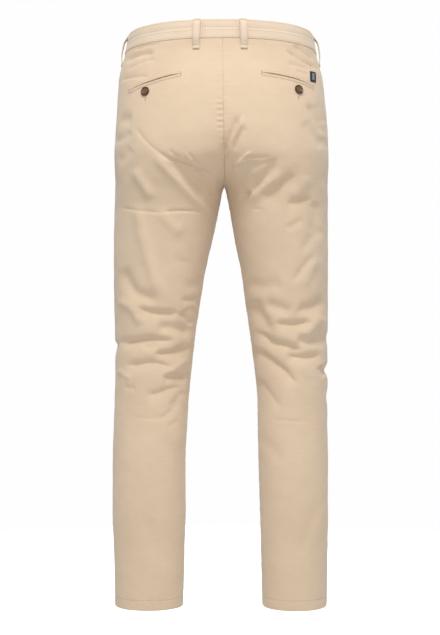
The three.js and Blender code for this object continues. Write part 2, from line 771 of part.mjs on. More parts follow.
function geometryOf(solid) {
  const mesh = solid.getMesh();
  const geometry = new THREE.BufferGeometry();
  geometry.setAttribute('position', new THREE.Float32BufferAttribute(mesh.vertProperties, 3));
  geometry.setIndex(new THREE.Uint32BufferAttribute(mesh.triVerts, 1));
  return geometry;
}

// A button laid on the cloth at a point, facing along a direction
function placeButton(name, point, normal) {
  addPiece(name, buttonShape(), HORN);
  const mesh = group.children.at(-1);
  mesh.position.copy(point);
  mesh.quaternion.setFromUnitVectors(new THREE.Vector3(0, 0, 1), normal);
}

function backButton(pocket) {
  const point = backPoint(pocket.side, pocket.buttonX, pocket.buttonZ, BUTTON_LIFT);
  const base = backPoint(pocket.side, pocket.buttonX, pocket.buttonZ, 0);
  placeButton(`${pocket.name}_button`, point, point.clone().sub(base).normalize());
}

// The tab lies above the outer end of the right back pocket
const TAB = { x: 164, width: 11, zTop: -55, zLow: -74.6, columns: 4, rows: 4 };

function pocketTab() {
  const grid = (lift) => Array.from({ length: TAB.rows + 1 }, (_, r) => {
    const z = TAB.zTop + ((TAB.zLow - TAB.zTop) * r) / TAB.rows;
    return Array.from({ length: TAB.columns + 1 }, (unused, c) => {
      const x = TAB.x - TAB.width / 2 + (TAB.width * c) / TAB.columns;
      return backPoint(RIGHT, x, z, lift);
    });
  });
  return slab(grid(TAB_LIFT + TAB_THICK), grid(TAB_LIFT));
}

// Panels
addPiece('back_panel_left', backPanel(LEFT), TWILL);
addPiece('back_panel_right', backPanel(RIGHT), TWILL);
addPiece('front_panel_left', frontPanel(LEFT), TWILL);
addPiece('front_panel_right', frontPanel(RIGHT), TWILL);
addPiece('hip_facing_left', hipFacing(LEFT), TWILL);
addPiece('hip_facing_right', hipFacing(RIGHT), TWILL);

// Waistband
const MIDDLE_FRONT = 2;
const WHOLE_RING = 4;
const BAND_STEPS = { insert: 4, left: 22, rise: 2, lap: 3, right: 24 };
const insertLeft = turnBy(0, INSERT_LEFT);
const insertRight = turnBy(0, -INSERT_RIGHT);
const seamTurn = turnBy(0, SEAM_GAP / 2);
const lapStart = turnBy(MIDDLE_FRONT, -BAND_RISE_STARTS);
const lapUp = turnBy(MIDDLE_FRONT, -BAND_RISE_ENDS);
const lapEnd = turnBy(MIDDLE_FRONT, BAND_LAP);
const lapLift = (turn) => BAND_LAP_LIFT * smooth((turn - lapStart) / (lapUp - lapStart));
const insertTurns = evenly(insertRight + seamTurn, insertLeft - seamTurn, BAND_STEPS.insert);
const leftTurns = [
  ...evenly(insertLeft + seamTurn, lapStart, BAND_STEPS.left),
  ...evenly(lapStart, lapUp, BAND_STEPS.rise).slice(1),
  ...evenly(lapUp, lapEnd, BAND_STEPS.lap).slice(1),
];
const rightTurns = evenly(MIDDLE_FRONT, WHOLE_RING + insertRight - seamTurn, BAND_STEPS.right);
addPiece('waistband_back_insert', waistband(insertTurns, noLift), BAND_TWILL);
addPiece('waistband_left', waistband(leftTurns, lapLift), BAND_TWILL);
addPiece('waistband_right', waistband(rightTurns, noLift), BAND_TWILL);

// Belt loops
const LOOPS = [
  { name: 'belt_loop_back_left', turn: turnBy(0, 47), stand: 7.3 },
  { name: 'belt_loop_back_right', turn: turnBy(0, -38), stand: 7.3 },
  { name: 'belt_loop_side_left', turn: 0.985, stand: 6.5 },
  { name: 'belt_loop_side_right', turn: 3.015, stand: 6.5 },
  { name: 'belt_loop_front_left', turn: turnBy(MIDDLE_FRONT, -72), stand: 9.2 },
  { name: 'belt_loop_front_right', turn: turnBy(MIDDLE_FRONT, 72), stand: 9.2 },
];
for (const { name, turn, stand } of LOOPS) addPiece(name, beltLoop(turn, stand), BAND_TWILL);

// Back pockets
for (const pocket of POCKETS) {
  addPiece(`${pocket.name}_welt_upper`, welt(pocket, 1), TWILL);
  addPiece(`${pocket.name}_welt_lower`, welt(pocket, -1), TWILL);
  backButton(pocket);
}
addPiece('pocket_tab_right', pocketTab(), WOVEN_TAB);

// Waist button, on the lap's end
const buttonTurn = turnBy(MIDDLE_FRONT, BAND_LAP - WAIST_BUTTON_INSET);
const buttonLevel = BAND_LOW_Z + BAND_HEIGHT / 2;
const onBand = (lift) => ringPoint(buttonTurn, buttonLevel, BAND_LAP_LIFT + BAND_OUT + lift);
placeButton('waist_button', onBand(BUTTON_LIFT), onBand(1).sub(onBand(0)).normalize());

export default group;
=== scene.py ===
"""Slim straight chino trousers in beige cotton twill, filled out as they are when worn.

The shape code works in millimetres, +Z up, with the front facing -Y and the wearer's left on +X. A piece is
turned to metres when its mesh is made.
"""
import logging
import math
from dataclasses import dataclass
from enum import Enum
from typing import Callable, Iterator, Sequence

import bpy
import numpy as np
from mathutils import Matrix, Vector


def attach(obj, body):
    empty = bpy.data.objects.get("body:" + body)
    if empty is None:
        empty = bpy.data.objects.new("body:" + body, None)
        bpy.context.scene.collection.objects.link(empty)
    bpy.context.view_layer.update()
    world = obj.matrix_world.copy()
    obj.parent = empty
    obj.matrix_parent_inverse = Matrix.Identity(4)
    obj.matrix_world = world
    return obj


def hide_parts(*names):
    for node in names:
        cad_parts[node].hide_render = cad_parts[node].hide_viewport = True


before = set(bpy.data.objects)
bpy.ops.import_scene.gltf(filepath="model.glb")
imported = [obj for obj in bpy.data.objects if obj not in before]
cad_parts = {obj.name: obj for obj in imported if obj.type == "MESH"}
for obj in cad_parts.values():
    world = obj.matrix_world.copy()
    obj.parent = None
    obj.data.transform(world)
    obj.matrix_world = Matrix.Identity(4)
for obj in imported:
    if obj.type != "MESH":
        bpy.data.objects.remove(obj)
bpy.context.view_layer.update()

log = logging.getLogger("trousers")

MM = 0.001
LEAST_CUT = 0.01
ROOT = "root"

# Cloth and waist, the same sizes as the solids; the small gaps between the solids' panels are closed here
CLOTH = 1.8
HEM_HEIGHT = 18.0
HEM_EXTRA = 1.4
HEM_Z = -1027.0
CROTCH_Z = -255.0
WAIST_TILT = 0.122
TILT_ENDS_Z = -150.0
BAND_LOW_Z = -14.5
BAND_HEIGHT = 35.0
BAND_GROOVE = 19.0
BAND_OUT = 1.1
BAND_INSIDE = -1.5
BAND_LAP = 24.0
BAND_LAP_LIFT = 3.5
BAND_QUARTER = 250.0
BUTTON_INSET = 14.0
INSERT_LEFT = 38.0
INSERT_RIGHT = 31.0
PANEL_TOP_Z = BAND_LOW_Z

# How the seat turns into legs, and how folds and creases fade
LEG_DEEPEN = 80.0
FORK_REACH = 365.0
FORK_POWER = 6
FOLD_END = 0.3
FOLD_KEEP_OFF_MIDDLE = 14.0
CREASE_FADE = 9.0
OVAL_SAMPLES = 240

Array = np.ndarray
Place = tuple[Array, Array]


class Side(Enum):
    """The two halves of the trousers; the value is the sign of x."""

    LEFT = 1
    RIGHT = -1


class Face(Enum):
    """Behind or in front of the side seam; the value is the sign of y."""

    BACK = 1
    FRONT = -1


@dataclass(frozen=True)
class SeatLevel:
    """One level of the seat: side reaches, how far each half closes on itself, depth, squareness."""

    z: float
    left: float
    right: float
    tuck_back: float
    tuck_front: float
    back: float
    front: float
    square: float


@dataclass(frozen=True)
class LegLevel:
    """One level of the legs: outer and inner reach of each leg, depth, squareness."""

    z: float
    out_left: float
    in_left: float
    out_right: float
    in_right: float
    back: float
    front: float
    square: float


SEAT = [
    SeatLevel(40, 168.5, 166.5, 0, 0, 101, -104, 2.3),
    SeatLevel(18, 171.5, 169.5, 0, 0, 104, -106, 2.3),
    SeatLevel(-14, 177.5, 175.5, 0, 0, 109, -110, 2.3),
    SeatLevel(-38, 184, 181.5, 0.01, 0, 116, -113, 2.32),
    SeatLevel(-60, 188, 187, 0.02, 0, 124, -115.5, 2.34),
    SeatLevel(-94, 190.5, 190, 0.06, 0, 134, -117.5, 2.35),
    SeatLevel(-131, 192.5, 193, 0.14, 0.03, 141, -117.5, 2.35),
    SeatLevel(-168, 194.5, 195.2, 0.29, 0.09, 144, -116.5, 2.32),
    SeatLevel(-190, 195.8, 196, 0.42, 0.16, 142.5, -115.5, 2.28),
    SeatLevel(-205, 196.3, 196.5, 0.52, 0.26, 140, -114, 2.25),
    SeatLevel(-220, 196.1, 196.4, 0.65, 0.4, 135, -112, 2.22),
    SeatLevel(-230, 195.8, 196, 0.745, 0.52, 131, -110, 2.2),
    SeatLevel(-240, 195.4, 195.6, 0.855, 0.7, 126.5, -108, 2.18),
    SeatLevel(-248, 195.1, 195.3, 0.94, 0.88, 123, -106.5, 2.16),
    SeatLevel(-255, 195, 195.2, 1, 1, 120, -105, 2.15),
]

LEGS = [
    LegLevel(-255, 195, -5.5, 195.2, 5.5, 120, -105, 2.15),
    LegLevel(-262, 195.3, -2.6, 195.6, 8.4, 117, -104, 2.14),
    LegLevel(-279, 195.8, 1, 196.2, 12, 111, -102.5, 2.12),
    LegLevel(-297, 196.1, 4.6, 196.5, 15.2, 105.5, -100.5, 2.1),
    LegLevel(-334, 197.2, 12.4, 196.6, 21.8, 98, -97, 2.1),
    LegLevel(-371, 198.1, 20.9, 196.5, 29.2, 92, -94, 2.1),
    LegLevel(-408, 198.3, 28.9, 196.9, 36.8, 86.5, -91, 2.1),
    LegLevel(-464, 198, 38.5, 197.4, 44.4, 79, -87, 2.08),
    LegLevel(-519, 197, 46.6, 197, 52.4, 72, -83, 2.06),
    LegLevel(-556, 196.7, 51.4, 196.8, 57.2, 68, -81, 2.06),
    LegLevel(-593, 196.5, 55.5, 196.8, 61.6, 64, -77.5, 2.05),
    LegLevel(-649, 197.6, 60.4, 196.5, 67, 61, -73, 2.05),
    LegLevel(-704, 199, 63.6, 196.4, 67.6, 63, -67, 2.05),
    LegLevel(-741, 199.8, 65.9, 196.7, 68.5, 65, -63.5, 2.05),
    LegLevel(-834, 200.9, 65.7, 197.2, 70.7, 66, -59, 2.05),
    LegLevel(-926, 198.7, 67.7, 196.3, 73.3, 61, -57, 2.05),
    LegLevel(-1027, 196.1, 70.4, 194.3, 76, 56, -54, 2.05),
]

# The seat's middle seam: (height, x) at its top and at the crotch
MIDDLE_TOP = (-14.0, -2.2)
MIDDLE_LOW = (CROTCH_Z, -5.5)


@dataclass(frozen=True)
class Fold:
    """A crease: ends in distance round the leg from the side seam (towards the back) and height.

    bow is how far its middle arches up, above and below are how fast it fades on its upper and lower side,
    and rise is its height out of the cloth, negative for a trough.
    """

    leg: int
    s0: float
    z0: float
    s1: float
    z1: float
    bow: float
    above: float
    below: float
    rise: float


class Form(Enum):
    """Shapes across a crease.

    Each holds how fast it fades on the left and right of someone who walks along it, and how keen it is, from
    0, rounded, to 1.
    """

    TUCK = (7.5, 14.0, 0.6)
    HOLLOW = (11.0, 11.0, 0.0)
    ROLL = (9.0, 8.0, 0.0)
    FOLD = (6.0, 7.0, 0.4)
    LAP = (9.0, 2.5, 1.0)
    EDGE = (2.2, 5.2, 0.4)
    PINCH = (4.0, 3.0, 0.6)
    LINE = (4.0, 2.5, 1.0)

    def __init__(self, left: float, right: float, sharp: float) -> None:
        self.left = left
        self.right = right
        self.sharp = sharp


@dataclass(frozen=True)
class Crease:
    """A crease of the back, placed as it is seen from behind.

    path holds its points, each a distance to the right of the middle plane and a height, form is its shape
    across, and rise is its height out of the cloth, negative for a trough.
    """

    path: tuple[tuple[float, float], ...]
    form: Form
    rise: float

    ends = 0.24
    keenness = 0.5
    keen_width = 0.62
    reach = 3.2
    steps = 6

    def line(self) -> Array:
        """A smooth curve through the path."""
        points = np.array(self.path, float)
        points = np.concatenate([2 * points[:1] - points[1:2], points, 2 * points[-1:] - points[-2:-1]])
        t = np.linspace(0, 1, self.steps, endpoint=False)[:, None]
        parts = []
        for a, b, c, d in zip(points, points[1:], points[2:], points[3:]):
            bend = (2 * a - 5 * b + 4 * c - d) * t**2 + (3 * b - a - 3 * c + d) * t**3
            parts.append(0.5 * (2 * b + (c - a) * t + bend))
        return np.concatenate([*parts, points[-2:-1]])

    def height(self, across: Array, z: Array) -> Array:
        """Its height at each place seen from behind."""
        line = self.line()
        reach = self.reach * max(self.form.left, self.form.right)
        low, high = line.min(axis=0) - reach, line.max(axis=0) + reach
        near = (across > low[0]) & (across < high[0]) & (z > low[1]) & (z < high[1])
        total = np.zeros(across.shape)
        if not near.any():
            return total
        at = np.stack([across[near], z[near]], axis=-1)
        steps = np.diff(line, axis=0)
        lengths = np.linalg.norm(steps, axis=1)
        passed = np.concatenate([[0.0], np.cumsum(lengths)])
        best = np.full(len(at), np.inf)
        along = np.zeros(len(at))
        off = np.zeros(len(at))
        for start, step, length, done in zip(line, steps, lengths, passed):
            ahead = step / length
            to = at - start
            far = np.clip(to @ ahead, 0, length)
            apart = to - far[:, None] * ahead
            distance = np.linalg.norm(apart, axis=1)
            side = np.sign(ahead[0] * to[:, 1] - ahead[1] * to[:, 0])
            closer = distance < best
            best = np.where(closer, distance, best)
            along = np.where(closer, done + far, along)
            off = np.where(closer, side * distance, off)
        width = np.where(off > 0, self.form.left, self.form.right)
        soft = ridge(off, width)
        keen = np.exp(-(np.sqrt(off**2 + self.keenness**2) - self.keenness) / (self.keen_width * width))
        fade = self.ends * passed[-1]
        ends = smooth(along / fade) * smooth((passed[-1] - along) / fade)
        total[near] = self.rise * ends * (soft + self.form.sharp * (keen - soft))
        return total


# Folds that run round a leg
MAIN_FOLDS = [
    # Round the outer side of the knees
    Fold(1, 44, -549, -34, -546, 0, 6, 12, -4.5),
    Fold(1, 10, -560, -52, -572, 3, 8, 10, -5),
    Fold(1, 14, -606, -40, -616, 2, 9, 11, -3),
    Fold(-1, 50, -536, -20, -534, 0, 9, 10, -3.5),
    Fold(-1, 30, -590, -44, -606, 3, 9, 10, -5.5),
    Fold(-1, 30, -640, -30, -650, 2, 10, 12, -2.6),
    # Lower legs, behind
    Fold(-1, 52, -820, 100, -950, 3, 14, 12, -2.4),
    Fold(1, 92, -836, 140, -960, -3, 13, 13, -2.2),
    Fold(1, 120, -712, 190, -770, 2, 12, 14, -1.8),
    Fold(-1, 190, -706, 120, -760, 3, 12, 14, -1.8),
    # Front of the hips and thighs
    Fold(1, -250, -196, -120, -140, 6, 9, 12, -2.8),
    Fold(1, -256, -238, -110, -190, 8, 10, 13, -4),
    Fold(1, -252, -268, -140, -262, 6, 8, 12, -3),
    Fold(1, -236, -310, -150, -338, 4, 10, 12, -2.2),
    Fold(-1, -248, -190, -132, -150, 5, 9, 12, -2.6),
    Fold(-1, -256, -240, -120, -204, 7, 9, 13, -4),
    Fold(-1, -252, -274, -150, -276, 5, 9, 11, -2.8),
    Fold(-1, -230, -322, -158, -356, 3, 10, 12, -2),
    # Front of the knees
    Fold(1, -60, -516, -150, -508, 4, 12, 14, -2.4),
    Fold(1, -206, -540, -120, -560, 3, 9, 12, -3.2),
    Fold(1, -40, -600, -126, -616, -4, 10, 13, -2.8),
    Fold(1, -208, -616, -132, -634, -3, 9, 11, -3),
    Fold(-1, -52, -508, -140, -516, 4, 12, 14, -2.2),
    Fold(-1, -210, -532, -128, -548, 3, 9, 12, -3.2),
    Fold(-1, -46, -616, -130, -628, -4, 10, 12, -2.8),
    Fold(-1, -206, -604, -140, -620, -3, 9, 11, -2.8),
    # Lower legs, in front
    Fold(1, -70, -900, -150, -938, 4, 13, 15, -2.2),
    Fold(-1, -76, -886, -150, -930, 3, 13, 15, -2.2),
]

# Creases of the back, as seen from behind
CREASES = [
    # Seat and hip, left
    Crease(((-154, -156), (-141, -177), (-125, -195), (-107, -209), (-90, -221)), Form.LINE, -2),
    Crease(((-84, -225), (-55, -236), (-30, -242), (-10, -252)), Form.TUCK, -6.5),
    Crease(((-116, -205), (-90, -221), (-62, -231), (-34, -243), (-20, -251)), Form.LAP, -4),
    Crease(((-65, -207), (-56, -217), (-48, -226)), Form.PINCH, 2),
    Crease(((-62, -206), (-53, -216), (-43, -225), (-30, -233)), Form.PINCH, -2.5),
    Crease(((-93, -202), (-83, -211), (-70, -221)), Form.PINCH, -2),
    Crease(((-71, -227), (-58, -232), (-44, -238), (-31, -244)), Form.PINCH, 1.5),
    Crease(((-195, -180), (-175, -176), (-158, -166)), Form.ROLL, -2.5),
    Crease(((-188, -217), (-172, -210), (-156, -197)), Form.HOLLOW, -2.5),
    Crease(((-185, -141), (-170, -144), (-158, -145)), Form.HOLLOW, -3.5),
    # Thigh, left
    Crease(((-125, -206), (-90, -241), (-55, -277), (-24, -306), (-8, -324)), Form.ROLL, 5),
    Crease(((-98, -218), (-72, -239), (-55, -255), (-38, -270), (-22, -282)), Form.HOLLOW, -7),
    Crease(((-155, -230), (-145, -251), (-132, -271), (-122, -290)), Form.ROLL, 4.5),
    Crease(((-112, -303), (-95, -325), (-80, -339), (-66, -350)), Form.HOLLOW, 3),
    Crease(((-187, -298), (-152, -305), (-116, -310), (-100, -309)), Form.LINE, -1.5),
    Crease(((-112, -310), (-73, -307), (-35, -307), (-24, -310)), Form.LINE, -2.5),
    Crease(
        ((-155, -282), (-146, -320), (-138, -360), (-127, -401), (-115, -440), (-98, -473)), Form.HOLLOW, 5
    ),
    Crease(((-180, -400), (-169, -432), (-155, -451), (-131, -461), (-108, -468)), Form.HOLLOW, -6.5),
    Crease(((-38, -268), (-26, -265), (-12, -261)), Form.TUCK, -2),
    Crease(((-56, -351), (-42, -348), (-28, -342)), Form.ROLL, -1),
    Crease(((-81, -398), (-63, -396), (-46, -399)), Form.PINCH, -1),
    Crease(((-67, -443), (-53, -438), (-39, -437)), Form.ROLL, -2),
    Crease(((-73, -465), (-57, -465), (-43, -461)), Form.FOLD, -3),
    # Knee, left
    Crease(((-153, -477), (-140, -483), (-126, -487), (-100, -489), (-72, -489)), Form.TUCK, -9),
    Crease(((-193, -468), (-176, -471), (-163, -479), (-152, -494), (-143, -513)), Form.ROLL, 4),
    Crease(((-120, -517), (-98, -515), (-74, -518), (-48, -524)), Form.HOLLOW, -7),
    Crease(((-76, -485), (-65, -494), (-57, -503), (-51, -512)), Form.FOLD, -4.5),
    Crease(((-67, -481), (-57, -484), (-46, -480)), Form.TUCK, -2),
    Crease(((-195, -542), (-160, -540), (-125, -536), (-95, -538), (-78, -540)), Form.TUCK, -9.5),
    Crease(((-145, -548), (-127, -550), (-110, -545)), Form.FOLD, -2.5),
    Crease(((-125, -562), (-103, -562), (-84, -559), (-67, -553), (-50, -553)), Form.TUCK, -9),
    Crease(((-180, -584), (-158, -582), (-127, -578), (-105, -582), (-84, -588)), Form.TUCK, -6.5),
    Crease(((-108, -604), (-88, -606), (-70, -607), (-57, -609)), Form.TUCK, -6.5),
    Crease(((-108, -598), (-88, -591), (-73, -580), (-59, -570)), Form.FOLD, 2.5),
    Crease(((-190, -591), (-173, -602), (-162, -608)), Form.FOLD, 2.5),
    Crease(((-178, -622), (-166, -624), (-154, -622)), Form.FOLD, -2),
    Crease(((-139, -637), (-118, -634), (-96, -627), (-78, -624), (-66, -625)), Form.TUCK, -5),
    Crease(((-113, -685), (-91, -666), (-70, -646)), Form.FOLD, -2.5),
    Crease(((-99, -694), (-86, -689), (-76, -683)), Form.FOLD, -1.5),
    Crease(((-96, -660), (-80, -646), (-68, -628)), Form.FOLD, -3),
    Crease(((-171, -675), (-147, -678), (-120, -678), (-96, -673)), Form.LINE, -1.2),
    # Seat and hip, right
    Crease(((6, -220), (8, -201), (13, -185), (21, -169), (28, -153), (32, -141)), Form.LAP, -7.5),
    Crease(((11, -220), (15, -204), (20, -186), (28, -169), (34, -154), (38, -142)), Form.EDGE, 5),
    Crease(((20, -206), (28, -187), (37, -172), (43, -160)), Form.FOLD, -3),
    Crease(((22, -232), (38, -236), (54, -232), (76, -226), (108, -218)), Form.FOLD, -3.5),
    Crease(((30, -227), (42, -222), (53, -216)), Form.PINCH, 3),
    Crease(((18, -235), (30, -223), (45, -211), (55, -205)), Form.EDGE, 4),
    Crease(((150, -114), (162, -131), (171, -146), (177, -158), (183, -171)), Form.FOLD, -4.5),
    Crease(((167, -113), (173, -128), (180, -140), (186, -150)), Form.HOLLOW, -1.5),
    Crease(((143, -149), (156, -164), (170, -177), (180, -188), (184, -196)), Form.HOLLOW, -3.5),
    # Thigh, right
    Crease(((44, -266), (58, -263), (73, -251), (84, -240), (96, -220)), Form.ROLL, -7.5),
    Crease(((42, -283), (56, -281), (70, -268), (87, -257), (102, -248), (115, -243)), Form.HOLLOW, 4),
    Crease(((66, -277), (78, -279), (98, -266), (121, -251), (137, -248)), Form.TUCK, -7.5),
    Crease(((36, -272), (52, -279)), Form.TUCK, -6),
    Crease(((113, -294), (123, -294), (150, -288), (166, -285)), Form.TUCK, -5),
    Crease(((125, -288), (136, -271), (147, -259), (160, -246)), Form.HOLLOW, 2.5),
    Crease(((112, -337), (124, -335), (134, -329), (146, -321)), Form.FOLD, -2.5),
    Crease(((53, -302), (65, -304), (76, -305)), Form.PINCH, -1),
    Crease(((138, -380), (151, -369), (161, -355), (174, -345), (186, -334)), Form.ROLL, -3),
    Crease(((162, -350), (168, -328), (169, -300), (168, -286)), Form.HOLLOW, -4),
    Crease(((124, -435), (134, -425), (144, -410), (157, -395), (168, -381)), Form.FOLD, -3),
    Crease(((146, -445), (155, -424), (166, -401), (178, -386)), Form.ROLL, 2.5),
    Crease(((45, -428), (57, -435), (72, -441), (92, -439), (112, -434)), Form.HOLLOW, -3),
    # Knee, right
    Crease(((56, -461), (64, -485), (75, -502), (84, -517), (93, -526)), Form.HOLLOW, -6.5),
    Crease(((134, -478), (150, -482), (165, -478), (180, -470), (192, -466)), Form.HOLLOW, -7),
    Crease(((74, -470), (92, -476), (109, -481), (126, -492)), Form.HOLLOW, -5),
    Crease(((94, -508), (112, -508), (130, -509), (148, -506), (166, -506)), Form.TUCK, -8),
    Crease(((133, -534), (151, -538), (170, -538), (195, -537)), Form.HOLLOW, -7),
    Crease(((144, -536), (162, -515), (174, -502), (185, -489)), Form.HOLLOW, 5),
    Crease(((56, -521), (72, -528), (91, -540), (118, -547), (135, -553), (153, -556)), Form.TUCK, -9.5),
    Crease(((113, -563), (129, -568), (150, -568), (187, -564)), Form.TUCK, -8.5),
    Crease(((52, -551), (70, -561), (96, -579), (115, -593), (128, -609), (140, -622)), Form.TUCK, -8),
    Crease(((71, -605), (78, -622), (90, -638), (102, -653), (113, -657)), Form.TUCK, -3),
    Crease(((152, -609), (165, -610), (176, -608)), Form.FOLD, -1),
    Crease(((183, -582), (188, -594), (194, -603)), Form.ROLL, -5.5),
    Crease(((87, -682), (115, -682), (142, -684), (164, -684)), Form.LINE, -1.2),
    # Under the waistband
    Crease(((-177, -34), (-163, -28), (-150, -25), (-135, -24), (-118, -25)), Form.FOLD, -5),
    Crease(((-172, -52), (-157, -45), (-144, -40), (-129, -37), (-112, -38)), Form.PINCH, -3),
    Crease(((-185, -68), (-172, -67), (-158, -67), (-143, -68), (-128, -72)), Form.LAP, -3),
    Crease(((-162, -13), (-144, -11), (-128, -9), (-107, -8)), Form.LINE, -2),
    Crease(((112, -20), (130, -28), (146, -36), (161, -42), (180, -47)), Form.LAP, -5.5),
    Crease(((126, -10), (141, -16), (154, -23), (170, -32)), Form.LAP, -3.5),
    Crease(((115, -45), (133, -47), (148, -50), (161, -54)), Form.PINCH, -2.5),
    Crease(((133, -57), (146, -60), (157, -64)), Form.PINCH, -2),
    # Pinched seat, right
    Crease(((19, -233), (33, -230), (49, -226), (64, -222)), Form.PINCH, -2),
    Crease(((33, -218), (50, -217), (71, -217), (89, -214)), Form.PINCH, -2),
]


def smooth(value: Array) -> Array:
    """Eases 0 to 1 with flat ends, clamped outside."""
    t = np.clip(value, 0.0, 1.0)
    return t * t * (3.0 - 2.0 * t)


def ridge(off: Array, width: Array | float) -> Array:
    """A rounded ridge of height 1, at each distance off its top."""
    return np.exp(-((off / width) ** 2))


def zigzag(count: int, reach: float) -> Array:
    """Steps to one side and to the other in turn."""
    return reach * np.where(np.arange(count) % 2, 1, -1)


def run(line: Array) -> float:
    """Length in metres of a line of points in millimetres."""
    return float(np.linalg.norm(np.diff(line, axis=0), axis=1).sum()) * MM


def across_and_up(across: Array, up: Array) -> Array:
    """Places in the cloth, from their distances across and up."""
    return np.stack(np.broadcast_arrays(across, up), axis=-1)


class Curve:
    """A smooth curve through some points that never overshoots them."""

    past_ends = 0.3

    def __init__(self, z: Sequence[float], value: Sequence[float]) -> None:
        """Takes the points.

        Args:
            z: their heights, in any order.
            value: the value at each.
        """
        order = np.argsort(z)
        self.z = np.array(z, float)[order]
        self.value = np.array(value, float)[order]
        gap = np.diff(self.z)
        step = np.diff(self.value) / gap
        slope = np.zeros_like(self.z)
        slope[0], slope[-1] = step[0], step[-1]
        for i in range(1, len(self.z) - 1):
            if step[i - 1] * step[i] > 0:
                near, far = gap[i - 1], gap[i]
                slope[i] = 3 * (near + far) / ((2 * far + near) / step[i - 1] + (far + 2 * near) / step[i])
        self.slope = slope

    @classmethod
    def columns(cls, rows: Sequence[SeatLevel | LegLevel], names: Sequence[str]) -> dict[str, "Curve"]:
        """A curve through each named column of a table of levels."""
        z = [row.z for row in rows]
        return {name: cls(z, [getattr(row, name) for row in rows]) for name in names}

    def __call__(self, z: Array) -> Array:
        """The value at each height."""
        i = np.clip(np.searchsorted(self.z, z) - 1, 0, len(self.z) - 2)
        gap = self.z[i + 1] - self.z[i]
        t = np.clip((z - self.z[i]) / gap, -self.past_ends, 1 + self.past_ends)
        rest = 1.0 - t
        return (
            (1 + 2 * t) * rest * rest * self.value[i]
            + t * rest * rest * gap * self.slope[i]
            + t * t * (3 - 2 * t) * self.value[i + 1]
            - t * t * rest * gap * self.slope[i + 1]
        )


@dataclass(frozen=True)
class Oval:
    """The half ovals at some heights, with x measured outwards from the middle plane."""

    centre: Array
    half: Array
    mid: Array
    deep: Array
    square: Array
    end: Array
    middle: Array


